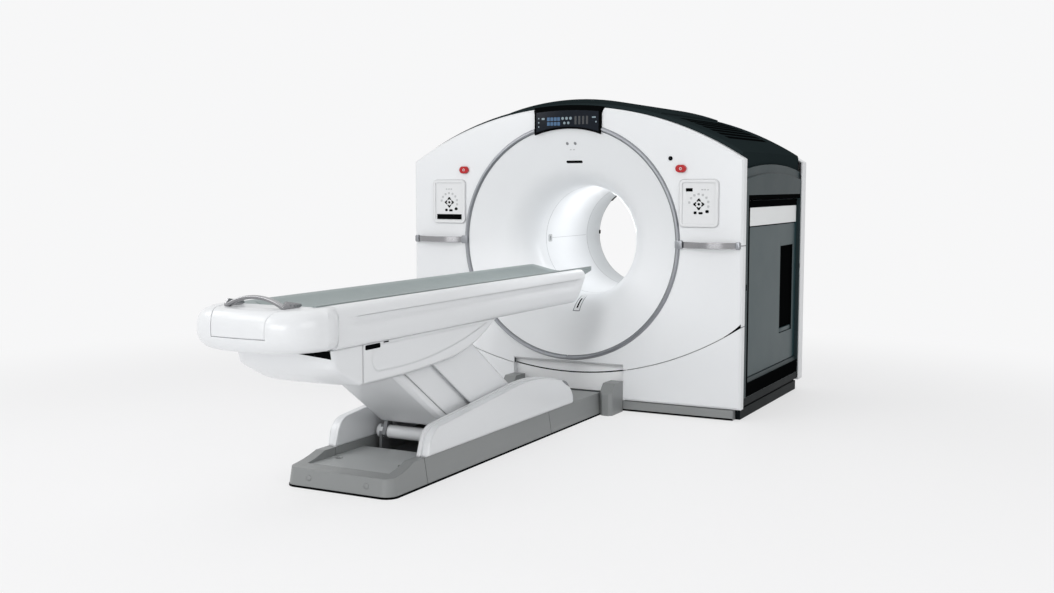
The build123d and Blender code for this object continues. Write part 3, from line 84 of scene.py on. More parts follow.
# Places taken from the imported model
SIDES = ((1, "right"), (-1, "left"))
LINER_WALL = 0.008
SHAFT_RADIUS = 0.02
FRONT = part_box("front_cover_middle")[0].y
COVER_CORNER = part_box("front_cover_middle")[1].x
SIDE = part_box("side_frames")[1].x
BORE_LOW, BORE_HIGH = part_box("bore_liner")
AXIS_Z = (BORE_LOW.z + BORE_HIGH.z) / 2
BORE = BORE_HIGH.x - LINER_WALL
WINDOW_LOW, WINDOW_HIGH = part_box("scan_window")
RING_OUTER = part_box("trim_ring")[1].x
GLASS_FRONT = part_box("display_glass")[0].y
KEYPAD_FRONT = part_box("keypads")[0].y
PANEL_LOW, PANEL_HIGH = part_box("panel_bezels")
DOCK_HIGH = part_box("dock_panel")[1]
DOOR_LOW, DOOR_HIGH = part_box("door_right")
PLATE_LOW, PLATE_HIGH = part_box("door_plate_right")
ROOF_LOW, ROOF_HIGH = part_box("roof_cover")
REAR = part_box("rear_cover")[1].y
KICK_LOW, KICK_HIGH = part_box("kick_plate")
PAD_LOW, PAD_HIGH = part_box("cradle_pad")
CRADLE_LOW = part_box("cradle")[0].z
NOSE_LOW, NOSE_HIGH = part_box("nose_cover")
FOOT_LOW, FOOT_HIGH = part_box("cradle_foot")
SIDE_COVER_LOW, SIDE_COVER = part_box("side_covers")
ARCH_LOW, ARCH_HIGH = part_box("release_handle")
HULL_LOW, HULL_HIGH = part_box("hull_front")
HULL_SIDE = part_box("hull_rear")[1].x
CHASSIS_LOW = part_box("chassis")[0]
SHAFT_LOW, SHAFT_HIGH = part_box("lower_shafts")
PIVOT_Y = SHAFT_LOW.y + SHAFT_RADIUS
PIVOT_Z = (SHAFT_LOW.z + SHAFT_HIGH.z) / 2
LEG_COVER_LOW, LEG_COVER_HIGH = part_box("leg_covers")
CAP_LOW, CAP_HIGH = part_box("base_cap")
BASE_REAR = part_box("base_rear")[1].y

# Values shared by the finishes
TONE_DARK = (0.45, 0.47, 0.48, 1)
TONE_SCALE, TONE_DETAIL = 1.6, 4
GLOSS_SCALE, GLOSS_DETAIL = 5, 6
GRAIN_DETAIL, GRAIN_HEIGHT = 2, 0.001
EDGE_SAMPLES = 4
COAT_ROUGHNESS = 0.12
SCREEN_DARK, SCREEN_ROUGHNESS, SCREEN_SHIFT, SCREEN_SCALE = (0.02, 0.02, 0.02, 1), 0.25, 0.5, 40
MAT_COLOUR, MAT_SHIFT, MAT_TONE_SCALE = (0.265, 0.31, 0.31, 1), 0.2, 3
MAT_ROUGHNESS, MAT_SPREAD, MAT_GLOSS_SCALE = 0.55, 0.15, 9
WEAVE_SCALE, WEAVE_STRENGTH, WEAVE_HEIGHT = 260, 0.12, 0.0006


# Shader node groups shared by the finishes
def new_group(name, inputs, output, kind):
    """Node group with typed inputs and one output."""
    tree = bpy.data.node_groups.new(name, "ShaderNodeTree")
    for label, socket_kind, value in inputs:
        socket = tree.interface.new_socket(label, in_out="INPUT", socket_type=socket_kind)
        socket.default_value = value
    tree.interface.new_socket(output, in_out="OUTPUT", socket_type=kind)
    return tree, tree.nodes.new("NodeGroupInput").outputs, tree.nodes.new("NodeGroupOutput").inputs


def set_inputs(node, values):
    """Input values of a node, by label."""
    for label, value in values.items():
        node.inputs[label].default_value = value


def noise_in(tree, scale, detail):
    """Noise over the object's own coordinates; scale is a socket."""
    place = tree.nodes.new("ShaderNodeTexCoord")
    noise = tree.nodes.new("ShaderNodeTexNoise")
    noise.inputs["Detail"].default_value = detail
    tree.links.new(place.outputs["Object"], noise.inputs["Vector"])
    tree.links.new(scale, noise.inputs["Scale"])
    return noise.outputs["Fac"]


def math_node(tree, operation, first, second):
    """Maths node fed by sockets or numbers."""
    node = tree.nodes.new("ShaderNodeMath")
    node.operation = operation
    for socket, value in zip(node.inputs, (first, second)):
        if isinstance(value, (int, float)):
            socket.default_value = value
        else:
            tree.links.new(value, socket)
    return node.outputs[0]


tone_drift, given, made = new_group("tone_drift", [
    ("Colour", "NodeSocketColor", (1, 1, 1, 1)), ("Shift", "NodeSocketFloat", 0.1),
    ("Scale", "NodeSocketFloat", 2.0)], "Colour", "NodeSocketColor")
darker = tone_drift.nodes.new("ShaderNodeMix")
darker.data_type = "RGBA"
darker.blend_type = "MULTIPLY"
cloud = noise_in(tone_drift, given["Scale"], TONE_DETAIL)
tone_drift.links.new(math_node(tone_drift, "MULTIPLY", cloud, given["Shift"]), darker.inputs["Factor"])
tone_drift.links.new(given["Colour"], darker.inputs["A"])
darker.inputs["B"].default_value = TONE_DARK
tone_drift.links.new(darker.outputs["Result"], made["Colour"])

gloss_drift, given, made = new_group("gloss_drift", [
    ("Roughness", "NodeSocketFloat", 0.4), ("Spread", "NodeSocketFloat", 0.1),
    ("Scale", "NodeSocketFloat", 6.0)], "Roughness", "NodeSocketFloat")
swing = math_node(gloss_drift, "SUBTRACT", noise_in(gloss_drift, given["Scale"], GLOSS_DETAIL), 0.5)
swing = math_node(gloss_drift, "MULTIPLY", swing, given["Spread"])
gloss_drift.links.new(math_node(gloss_drift, "ADD", swing, given["Roughness"]), made["Roughness"])

surface_grain, given, made = new_group("surface_grain", [
    ("Scale", "NodeSocketFloat", 600.0)], "Height", "NodeSocketFloat")
surface_grain.links.new(noise_in(surface_grain, given["Scale"], GRAIN_DETAIL), made["Height"])

soft_edge, given, made = new_group("soft_edge", [
    ("Radius", "NodeSocketFloat", 0.004)], "Normal", "NodeSocketVector")
edge_normal = soft_edge.nodes.new("ShaderNodeBevel")
edge_normal.samples = EDGE_SAMPLES
soft_edge.links.new(given["Radius"], edge_normal.inputs["Radius"])
soft_edge.links.new(edge_normal.outputs["Normal"], made["Normal"])


def use_group(tree, group, **values):
    """Instance of a node group with its input values set."""
    node = tree.nodes.new("ShaderNodeGroup")
    node.node_tree = group
    set_inputs(node, values)
    return node.outputs[0]


def new_material(name):
    """Node material with its Principled shader."""
    material = bpy.data.materials.new(name)
    material.use_nodes = True
    tree = material.node_tree
    return material, tree, tree.nodes["Principled BSDF"]


def bump_node(tree, strength, height):
    """Bump node of a strength and a height in metres."""
    bump = tree.nodes.new("ShaderNodeBump")
    set_inputs(bump, {"Strength": strength, "Distance": height})
    return bump


def finish(name, colour, roughness, metallic=0, coat=0, shine=0.5, shift=0.08, spread=0.1, grain=700,
           depth=0.03, edge=0.004):
    """Finish with drifting tone and gloss, a fine grain and softened edges."""
    material, tree, shader = new_material(name)
    set_inputs(shader, {"Metallic": metallic, "Coat Weight": coat, "Coat Roughness": COAT_ROUGHNESS,
                        "Specular IOR Level": shine})
    tone = use_group(tree, tone_drift, Colour=(*colour, 1), Shift=shift, Scale=TONE_SCALE)
    tree.links.new(tone, shader.inputs["Base Color"])
    gloss = use_group(tree, gloss_drift, Roughness=roughness, Spread=spread, Scale=GLOSS_SCALE)
    tree.links.new(gloss, shader.inputs["Roughness"])
    bump = bump_node(tree, depth, GRAIN_HEIGHT)
    tree.links.new(use_group(tree, surface_grain, Scale=grain), bump.inputs["Height"])
    tree.links.new(use_group(tree, soft_edge, Radius=edge), bump.inputs["Normal"])
    tree.links.new(bump.outputs["Normal"], shader.inputs["Normal"])
    return material


def glowing(name, colour):
    """Lit field of a screen, brighter and dimmer in places."""
    material, tree, shader = new_material(name)
    set_inputs(shader, {"Base Color": SCREEN_DARK, "Roughness": SCREEN_ROUGHNESS, "Emission Strength": 1})
    tone = use_group(tree, tone_drift, Colour=(*colour, 1), Shift=SCREEN_SHIFT, Scale=SCREEN_SCALE)
    tree.links.new(tone, shader.inputs["Emission Color"])
    return material


def woven(name):
    """Mat cover: a fine weave over the drifting tone."""
    material, tree, shader = new_material(name)
    tone = use_group(tree, tone_drift, Colour=MAT_COLOUR, Shift=MAT_SHIFT, Scale=MAT_TONE_SCALE)
    tree.links.new(tone, shader.inputs["Base Color"])
    gloss = use_group(tree, gloss_drift, Roughness=MAT_ROUGHNESS, Spread=MAT_SPREAD, Scale=MAT_GLOSS_SCALE)
    tree.links.new(gloss, shader.inputs["Roughness"])
    weave = []
    for direction in ("X", "Y"):
        wave = tree.nodes.new("ShaderNodeTexWave")
        wave.bands_direction = direction
        wave.inputs["Scale"].default_value = WEAVE_SCALE
        tree.links.new(tree.nodes.new("ShaderNodeTexCoord").outputs["Object"], wave.inputs["Vector"])
        weave.append(wave.outputs["Fac"])
    bump = bump_node(tree, WEAVE_STRENGTH, WEAVE_HEIGHT)
    tree.links.new(math_node(tree, "MULTIPLY", *weave), bump.inputs["Height"])
    tree.links.new(bump.outputs["Normal"], shader.inputs["Normal"])
    return material


white = finish("cover_white", (0.78, 0.795, 0.81), 0.32, coat=0.35, shift=0.05)
white_soft = finish("cover_white_soft", (0.78, 0.795, 0.81), 0.34, coat=0.3, shift=0.05, edge=0.014)
funnel_white = finish("funnel_white", (0.80, 0.815, 0.83), 0.42, coat=0.1, shift=0.05)
# Brighter copy of the cover white for the recessed dock panel: painted light that lifts the shade in the bay
dock_white_painted_light = finish("dock_white_painted_light", (0.92, 0.93, 0.94), 0.4, shift=0.03)
window_grey = finish("window_grey", (0.72, 0.74, 0.75), 0.5)
plate_silver = finish("plate_silver", (0.86, 0.88, 0.88), 0.4, metallic=0.15, grain=1500)
silver = finish("trim_silver", (0.31, 0.32, 0.34), 0.34, metallic=1, spread=0.2, grain=1500)
chrome = finish("chrome", (0.31, 0.31, 0.32), 0.18, metallic=1, edge=0.003)
graphite = finish("graphite", (0.007, 0.010, 0.011), 0.45, shine=0.03, shift=0.3, edge=0.005)
roof_dark = finish("roof_graphite", (0.020, 0.029, 0.031), 0.6, shine=0.0, shift=0.3, edge=0.008)
side_slate = finish("side_slate", (0.033, 0.051, 0.055), 0.4, shine=0.08, shift=0.2, edge=0.006)
slate = finish("door_slate", (0.018, 0.048, 0.054), 0.3, shine=0.12, shift=0.12, depth=0.01)
black = finish("black", (0.003, 0.0034, 0.0036), 0.5, shine=0.0, edge=0.002)
glass = finish("display", (0.004, 0.007, 0.013), 0.12, shine=0.12, coat=0.08, depth=0.0, edge=0.002)
panel_grey = finish("panel_grey", (0.74, 0.75, 0.76), 0.4, edge=0.003)
mark_grey = finish("mark_grey", (0.22, 0.23, 0.24), 0.5, edge=0.001)
pale_grey = finish("pale_grey", (0.50, 0.51, 0.52), 0.5, edge=0.001)
red = finish("stop_red", (0.44, 0.004, 0.008), 0.3, shine=0.3, coat=0.2)
base_grey = finish("base_grey", (0.25, 0.26, 0.26), 0.42, coat=0.1, shift=0.2, grain=450, depth=0.08,
                   edge=0.006)
well_dark = finish("well_dark", (0.43, 0.445, 0.445), 0.4, shift=0.3, grain=350, depth=0.1)
steel = finish("steel", (0.24, 0.25, 0.26), 0.45, metallic=0.5, shift=0.3)
shaft_steel = finish("shaft_steel", (0.55, 0.55, 0.56), 0.28, metallic=1, spread=0.25)
inner_box = finish("inner_box", (0.14, 0.15, 0.17), 0.5, shift=0.3)
cradle_grey = finish("cradle_grey", (0.30, 0.345, 0.345), 0.42, shift=0.12)
pad_grey = woven("pad_grey")
blue_light = glowing("blue_light", (0.006, 0.085, 0.21))
pale_light = glowing("pale_light", (0.22, 0.30, 0.34))
dim_light = glowing("dim_light", (0.004, 0.008, 0.013))

finishes = {
    "cover_white": white, "funnel_white": funnel_white, "window_grey": window_grey, "trim_silver": silver,
    "chrome": chrome, "graphite": graphite, "door_slate": slate, "black": black, "display": glass,
    "panel_grey": panel_grey, "stop_red": red, "base_grey": base_grey, "well_dark": well_dark, "steel": steel,
    "shaft_steel": shaft_steel, "inner_box": inner_box, "cradle_grey": cradle_grey, "pad_grey": pad_grey,
}
for entry in frame["record"]["subparts"]:
    mesh = nodes[entry["node"]].data
    mesh.materials.clear()
    mesh.materials.append(finishes[entry["material_slot"]])
special = {
    "roof_cover": roof_dark, "side_frames": side_slate, "door_plate_left": plate_silver,
    "door_plate_right": plate_silver, "hull_rear": white_soft, "front_arm_cover": white_soft,
    "rear_arm_cover": white_soft, "leg_mid_panels": white_soft, "dock_panel": dock_white_painted_light,
}
for name, material in special.items():
    nodes[name].data.materials[0] = material


# Building blocks for the trim
def bridge(build, near, far, closed=True):
    """Faces between two rows of as many vertices."""
    count = len(near)
    for i in range(count if closed else count - 1):
        m = (i + 1) % count
        build.faces.new((near[i], near[m], far[m], far[i]))


def loft(build, rows, closed=True):
    """Faces along successive rows of vertices."""
    for near, far in zip(rows, rows[1:]):
        bridge(build, near, far, closed)


def raised(build, outline, place, height):
    """Vertices of an outline at a height over a surface."""
    return [build.verts.new(place(u, v, height)) for u, v in outline]


def block(build, outline, place, low, high):
    """Closed block: an outline between two heights over a surface; its upper loop is returned."""
    ground, top = raised(build, outline, place, low), raised(build, outline, place, high)
    build.faces.new(ground)
    build.faces.new(top)
    bridge(build, ground, top)
    return top


def new_object(name, build):
    """Object from a bmesh, with its faces turned outwards."""
    mesh = bpy.data.meshes.new(name)
    bmesh.ops.recalc_face_normals(build, faces=build.faces)
    build.to_mesh(mesh)
    build.free()
    made_object = bpy.data.objects.new(name, mesh)
    bpy.context.collection.objects.link(made_object)
    return made_object


def add_piece(name, build, material, body, sharp=35):
    """Piece from a bmesh, smooth but for its sharp edges, riding on a body."""
    piece = new_object(name, build)
    piece.data.shade_smooth()
    piece.data.set_sharp_from_angle(angle=radians(sharp))
    piece.data.materials.append(material)
    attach(piece, body)
    return piece


def slabs(name, outlines, height, place, material, body, bevel=0.0, low=0.0):
    """Flat pieces: outlines raised to a height along a surface, with softened upper edges."""
    build = bmesh.new()
    for outline in outlines:
        top = block(build, outline, place, low, height)
        if bevel:
            rim = [build.edges.get(pair) for pair in zip(top, top[1:] + top[:1])]
            bmesh.ops.bevel(build, geom=rim, offset=bevel, segments=3, profile=0.5, affect="EDGES")
    return add_piece(name, build, material, body)


def lathe(name, profile, place, material, body, steps=160):
    """Turned piece: a closed profile of radius and length pairs, swept round an axis by a place function."""
    build = bmesh.new()
    rings = [[build.verts.new(place(2 * pi * i / steps, r, y)) for r, y in profile] for i in range(steps)]
    loft(build, rings + rings[:1])
    return add_piece(name, build, material, body)


def patch(name, width, height, lift, place, material, body, slot, cells=12):
    """Thin rectangular piece that follows a curved surface, with its edges turned down."""
    build = bmesh.new()
    rows = []
    for j in range(cells + 3):
        v = height * (min(max(j - 1, 0), cells) / cells - 0.5)
        row = []
        for i in range(cells + 3):
            u = width * (min(max(i - 1, 0), cells) / cells - 0.5)
            edge = i in (0, cells + 2) or j in (0, cells + 2)
            row.append(build.verts.new(place(u, v, 0 if edge else lift)))
        rows.append(row)
    loft(build, rows, closed=False)
    return add_piece(name, build, material, body)


def border(build, outer, inner, levels, place):
    """Strip between two outlines of as many points; levels are pairs of outline choice and height."""
    loft(build, [raised(build, (outer, inner)[choice], place, height) for choice, height in levels])


def rounded(u, v, width, height, radius, steps=6):
    """Outline of a rectangle with round corners."""
    points = []
    for corner in range(4):
        cu = u + (width / 2 - radius) * (1, -1, -1, 1)[corner]
        cv = v + (height / 2 - radius) * (1, 1, -1, -1)[corner]
        for i in range(steps + 1):
            angle = pi / 2 * (corner + i / steps)
            points.append((cu + radius * cos(angle), cv + radius * sin(angle)))
    return points


def disc(u, v, radius, steps=24):
    """Outline of a circle."""
    angles = [2 * pi * i / steps for i in range(steps)]
    return [(u + radius * cos(angle), v + radius * sin(angle)) for angle in angles]


def arc_band(radius, width, start, end, steps):
    """Outline of a band along a circle about the scan axis, in the front view."""
    angles = [radians(start + (end - start) * i / steps) for i in range(steps + 1)]
    loops = []
    for r in (radius + width / 2, radius - width / 2):
        loops.append([(r * cos(a), AXIS_Z + r * sin(a)) for a in angles])
    return loops[0] + loops[1][::-1]


def turned(points, angle, u, v):
    """Points turned by an angle in degrees and moved."""
    c, s = cos(radians(angle)), sin(radians(angle))
    return [(u + c * a - s * b, v + s * a + c * b) for a, b in points]


def round_corners(points, reach, steps=8):
    """Polygon with its corners rounded; reach is the length taken off each side of a corner."""
    result = []
    for i, point in enumerate(points):
        before, after = Vector(points[i - 1]), Vector(points[(i + 1) % len(points)])
        here = Vector(point)
        if not reach[i]:
            result.append(point)
            continue
        start = here + (before - here).normalized() * reach[i]
        end = here + (after - here).normalized() * reach[i]
        for k in range(steps + 1):
            t = k / steps
            mid = start * (1 - t)**2 + here * 2 * t * (1 - t) + end * t**2
            result.append((mid.x, mid.y))
    return result


def on_ground(u, v, w):
    """Floor: u across, v along, raised upwards."""
    return Vector((u, v, w))


def facing(y):
    """Front surface at a Y: u across, v up, raised towards the table."""
    return lambda u, v, w: Vector((u, y - w, v))


def flank(x, side):
    """Side surface at an X: u along, v up, raised outwards on one side."""
    return lambda u, v, w: Vector((side * (x + w), u, v))


def about_scan_axis(angle, radius, y):
    """Point about the scan axis."""
    return Vector((radius * cos(angle), y, AXIS_Z + radius * sin(angle)))


def about_pivot(angle, radius, x):
    """Point about the lower front pivot."""
    return Vector((x, PIVOT_Y + radius * cos(angle), PIVOT_Z + radius * sin(angle)))


# Screen above the ring: fields of light and plain shapes
CELL_X, CELL_Z, CELL_STEP_X, CELL_STEP_Z = -0.128, 1.8, 0.0235, 0.029
CELL, CELL_COLUMNS, CELL_ROWS = (0.019, 0.022, 0.003), 4, 2
# Rows of round signs: first place across, place up, radius and count
DIAL_ROWS = ((-0.03, 1.803, 0.009, 3), (-0.018, 1.775, 0.008, 2))
DIAL_STEP = 0.027
# Small dots at the ends of the screen, and two sign fields with place, size and corner
DOT_X, DOT_Z, DOT_STEP, DOT_RADIUS, DOT_COUNT = 0.196, 1.806, 0.026, 0.0045, 3
SINGLE_DOT_Z, SINGLE_DOT_RADIUS = 1.778, 0.005
SIGN_FIELDS = ((-0.165, 1.803, 0.02, 0.012, 0.003), (0.182, 1.806, 0.026, 0.009, 0.003))
BAR_X, BAR_Z, BAR_STEP = 0.058, 1.79, 0.026
BAR, BAR_COUNT = (0.014, 0.05, 0.002), 4
screen = facing(GLASS_FRONT)
cells = [rounded(CELL_X + CELL_STEP_X * i, CELL_Z - CELL_STEP_Z * j, *CELL)
         for i in range(CELL_COLUMNS) for j in range(CELL_ROWS)]
slabs("screen_blue_cells", cells, FILM, screen, blue_light, "frame")
signs = [disc(x + DIAL_STEP * i, z, radius) for x, z, radius, count in DIAL_ROWS for i in range(count)]
signs += [disc(-DOT_X, DOT_Z - DOT_STEP * i, DOT_RADIUS) for i in range(DOT_COUNT)]
signs += [disc(DOT_X, SINGLE_DOT_Z, SINGLE_DOT_RADIUS)]
signs += [rounded(*field) for field in SIGN_FIELDS]
slabs("screen_signs", signs, FILM, screen, pale_light, "frame")
bars = [rounded(BAR_X + BAR_STEP * i, BAR_Z, *BAR) for i in range(BAR_COUNT)]
slabs("screen_bars", bars, FILM, screen, dim_light, "frame")

# Control panels: round-cornered rims, arrow keys, signs and dark fields
PANEL_INWARD = 0.1125
PANEL_X = (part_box("keypads")[1].x + PANEL_HIGH.x) / 2 - PANEL_INWARD
PANEL_Z = (PANEL_LOW.z + PANEL_HIGH.z) / 2
PANEL_WIDTH, PANEL_HEIGHT, PANEL_RIM = 0.245, 0.283, 0.02
# Outlines of a panel from outside in: growth over its size, and corner
PANEL_LOOPS = ((0.004, 0.032), (0, 0.03), (-0.006, 0.027), (-2 * PANEL_RIM, 0.008))
PANEL_CORNER_STEPS = 10
RIM_SHOULDER = 0.003
rims, edges = bmesh.new(), bmesh.new()
rim_high = FRONT - PANEL_LOW.y
for side in (-1, 1):
    halo, outer, upper, inner = [
        rounded(side * PANEL_X, PANEL_Z, PANEL_WIDTH + grow, PANEL_HEIGHT + grow, corner, PANEL_CORNER_STEPS)
        for grow, corner in PANEL_LOOPS]
    border(rims, outer, upper, ((0, 0), (0, rim_high - RIM_SHOULDER), (1, rim_high)), facing(FRONT))
    border(rims, upper, inner, ((0, rim_high), (1, rim_high), (1, 0)), facing(FRONT))
    border(edges, halo, outer, ((0, 0), (0, HAIR), (1, HAIR)), facing(FRONT))
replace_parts(add_piece("panel_rims", rims, panel_grey, "frame"), "panel_bezels")
add_piece("panel_outlines", edges, pale_grey, "frame")

KEYS_DROP = 0.006
ARROW_REACH, ARROW_HUB = 0.023, 0.008
CHEVRON = ((-0.015, -0.007), (-0.006, -0.007), (0, -0.001), (0.006, -0.007), (0.015, -0.007), (0.004, 0.011),
           (-0.004, 0.011))
# Keys and dark fields about a panel's middle: across, up, width, height and corner
LOW_KEYS = ((-0.022, -0.05, 0.018, 0.016, 0.004), (0.012, -0.052, 0.026, 0.014, 0.005),
            (0.052, -0.042, 0.022, 0.018, 0.008))
DARK_FIELDS = {"right": (-0.06, 0.085, 0.042, 0.02, 0.002), "left": (0, -0.094, 0.186, 0.034, 0.002)}
FAN_RADIUS, FAN_START, FAN_STEP, FAN_COUNT = 0.06, 170, 26, 8
FAN_KEY = (0.014, 0.014, 0.004)
PANEL_SIGN_OUT, PANEL_SIGN_STEP, PANEL_SIGN_UP = 0.02, 0.018, 0.086
PANEL_SIGN, PANEL_SIGN_COUNT = (0.012, 0.008, 0.002), 3
keys = facing(KEYPAD_FRONT)
for side, word in SIDES:
    x, z = side * PANEL_X, PANEL_Z - KEYS_DROP
    dark = []
    for turn in (0, 90, 180, 270):
        reach = turned([(0, ARROW_REACH)], turn, x, z)[0]
        dark.append(turned(CHEVRON, turn, *reach))
    dark.append(disc(x, z, ARROW_HUB))
    for across, up, *size in (*LOW_KEYS, DARK_FIELDS[word]):
        dark.append(rounded(x + across, z + up, *size))
    slabs(f"{word}_panel_keys", dark, KEY, keys, black, "frame", bevel=FINE_EDGE)
    fan = []
    for i in range(FAN_COUNT):
        place = turned([(FAN_RADIUS, 0)], FAN_START - FAN_STEP * i, x, z)[0]
        fan.append(rounded(*place, *FAN_KEY))
    for i in range(PANEL_SIGN_COUNT):
        fan.append(rounded(x + side * PANEL_SIGN_OUT + PANEL_SIGN_STEP * i, z + PANEL_SIGN_UP, *PANEL_SIGN))
    slabs(f"{word}_panel_signs", fan, PRINT, keys, pale_grey, "frame")

# Stop buttons: soft red pills with a plain white ring
STOP_DEPTH, STOP_EDGE = 0.022, 0.009
PILL = (0.0644, 0.0444, 0.0215, 10)
STOP_RING, STOP_DOT, STOP_DOT_LIFT = 0.0085, 0.005, 0.0007
for side, word in SIDES:
    low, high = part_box(f"stop_button_{word}")
    middle = ((low.x + high.x) / 2, (low.z + high.z) / 2)
    body = f"{word}_stop"
    top = facing(low.y)
    button = slabs(f"stop_pill_{word}", [rounded(*middle, *PILL)], STOP_DEPTH, facing(low.y + STOP_DEPTH),
                   red, body, bevel=STOP_EDGE)
    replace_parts(button, f"stop_button_{word}")
    slabs(f"stop_sign_{word}", [disc(*middle, STOP_RING)], FILM, top, panel_grey, body)
    slabs(f"stop_dot_{word}", [disc(*middle, STOP_DOT)], STOP_DOT_LIFT, top, red, body)

# Camera eye on the right cover
EYE = (0.676, 1.551)
EYE_RADIUS, EYE_HEIGHT, EYE_EDGE = 0.013, 0.006, 0.003
LENS_RADIUS, LENS_HEIGHT, LENS_EDGE = 0.005, 0.0075, 0.001
slabs("camera_eye", [disc(*EYE, EYE_RADIUS)], EYE_HEIGHT, facing(FRONT), black, "frame",
      bevel=EYE_EDGE)
slabs("camera_lens", [disc(*EYE, LENS_RADIUS)], LENS_HEIGHT, facing(FRONT), glass, "frame",
      bevel=LENS_EDGE)

# Ring: dark line along its inner edge and clips that hold the grab handles
RING_LINE_IN, RING_LINE_WIDTH, RING_LINE_ROOT, RING_LINE_STEPS = 0.0285, 0.003, -0.004, 90
RING_LINE_ENDS = ((-89.8, 71.3), (108.7, 269.8))
# Clips: place across, width, height and corner
GRIP_CLIPS = ((0.738, 0.044, 0.05, 0.006), (1.102, 0.024, 0.044, 0.005))
GRIP_HEIGHT, GRIP_EDGE = 0.021, 0.005
for part, (start, end) in enumerate(RING_LINE_ENDS):
    line = arc_band(RING_OUTER - RING_LINE_IN, RING_LINE_WIDTH, start, end, RING_LINE_STEPS)
    slabs(f"ring_line_{part}", [line], HAIR, facing(FRONT), mark_grey, "frame",
          low=RING_LINE_ROOT)
for side, word in SIDES:
    clips = [rounded(side * x, AXIS_Z, *size) for x, *size in GRIP_CLIPS]
    slabs(f"grip_clips_{word}", clips, GRIP_HEIGHT, facing(FRONT), silver, "frame",
          bevel=GRIP_EDGE)

# Entry funnel: sensor dots, marks, a laser slot and a service slot, laid on its curved surface
FUNNEL_RIM = 0.715
FUNNEL_ANGLE = radians(65.9)
FUNNEL_BEND = 0.243
CONE_END = BORE + FUNNEL_BEND * (1 - cos(FUNNEL_ANGLE))
FUNNEL_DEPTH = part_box("funnel")[1].y - FRONT
FUNNEL_TOP, FUNNEL_BOTTOM = 90, -90
DOTS_RADIUS, DOTS_HALF, DOT_SIZE = 0.611, 0.027, 0.0095
MARK_HALF, MARK_DOWN = 0.012, -0.038
MARK = (0.012, 0.006, 0.002)
LASER_RADIUS, LASER_SLOT = 0.5, (0.112, 0.016, 0.0078)
SERVICE_RADIUS = 0.4
# Layers of the service slot: name, width, height, height over the funnel, finish and slot; the first layer is
# a painted shadow round the raised frame
SERVICE_LAYERS = (("service_shadow", 0.044, 0.094, PRINT, mark_grey, "black"),
                  ("service_frame", 0.034, 0.084, LATCH, panel_grey, "panel_grey"),
                  ("service_slot", 0.01, 0.054, 0.002, black, "black"))


def funnel_depth(radius):
    """Depth of the funnel's surface at a radius."""
    if radius > CONE_END:
        return (FUNNEL_RIM - radius) / tan(FUNNEL_ANGLE)
    rise = BORE + FUNNEL_BEND - radius
    return FUNNEL_DEPTH - sqrt(max(FUNNEL_BEND**2 - rise**2, 0))


def on_funnel(angle, radius):
    """Funnel surface about a place: u around, v outwards, raised towards the table."""
    def place(u, v, w):
        around = radians(angle) - u / radius
        return about_scan_axis(around, radius + v, FRONT + funnel_depth(radius + v) - w)
    return place


dots = [disc(u, 0, DOT_SIZE) for u in (-DOTS_HALF, DOTS_HALF)]
dots_place = on_funnel(FUNNEL_TOP, DOTS_RADIUS)
slabs("funnel_dots", dots, KEY, dots_place, mark_grey, "frame", bevel=SMALL_EDGE)
marks = [rounded(u, MARK_DOWN, *MARK) for u in (-MARK_HALF, MARK_HALF)]
slabs("funnel_marks", marks, INSERT, dots_place, pale_grey, "frame")
slabs("laser_slot", [rounded(0, 0, *LASER_SLOT)], KEY, on_funnel(FUNNEL_TOP, LASER_RADIUS), black, "frame")
for name, width, height, lift, material, slot in SERVICE_LAYERS:
    patch(name, width, height, lift, on_funnel(FUNNEL_BOTTOM, SERVICE_RADIUS), material, "frame", slot)

# Bore: a sensor with its eye, a line along the wall, window marks and thin seam bands
SENSOR_Y, SENSOR, SENSOR_LIFT, SENSOR_EDGE = 0.458, (0.05, 0.05, 0.008), 0.002, 0.0006
SENSOR_EYE, SENSOR_EYE_LIFT = (0.022, 0.028, 0.004), 0.0026
WALL_LINE_Y, WALL_LINE = 0.755, (0.54, 0.003, 0.001)
WINDOW_MARK_Y, WINDOW_DASH, WINDOW_DOT = 1.268, (0.03, 0.085), (0.028, 0.028, 0.006)
# Angles of these round the bore, in degrees
SENSOR_ANGLE, DASH_ANGLE, DOT_ANGLE = 180, 130, 178
# Bands round the bore: place behind the front covers, and width
BORE_BANDS = {"bore_seam": (0.4, 0.004), "window_edge_front": (WINDOW_LOW.y - FRONT, 0.006),
              "window_edge_rear": (WINDOW_HIGH.y - FRONT, 0.006)}
BAND_ROOT = 0.001


def in_bore(angle, y):
    """Bore wall about a place: u along the bore, v around, raised towards the axis."""
    return lambda u, v, w: about_scan_axis(radians(angle) + v / BORE, BORE - w, FRONT + y + u)


sensor_place, dot_place = in_bore(SENSOR_ANGLE, SENSOR_Y), in_bore(DOT_ANGLE, WINDOW_MARK_Y)
slabs("bore_sensor", [rounded(0, 0, *SENSOR)], SENSOR_LIFT, sensor_place, pale_grey, "frame",
      bevel=SENSOR_EDGE)
slabs("bore_sensor_eye", [rounded(0, 0, *SENSOR_EYE)], SENSOR_EYE_LIFT, sensor_place, mark_grey, "frame")
slabs("bore_wall_line", [rounded(0, 0, *WALL_LINE)], FILM, in_bore(SENSOR_ANGLE, WALL_LINE_Y), pale_grey,
      "frame")
patch("window_dash", *WINDOW_DASH, KEY, in_bore(DASH_ANGLE, WINDOW_MARK_Y), black, "frame", "black")
slabs("window_dot", [rounded(0, 0, *WINDOW_DOT)], KEY, dot_place, black, "frame")
for name, (y, width) in BORE_BANDS.items():
    near, far = FRONT + y - width / 2, FRONT + y + width / 2
    loop = [(BORE + BAND_ROOT, near), (BORE - PRINT, near), (BORE - PRINT, far), (BORE + BAND_ROOT, far)]
    lathe(name, loop, about_scan_axis, pale_grey, "frame")

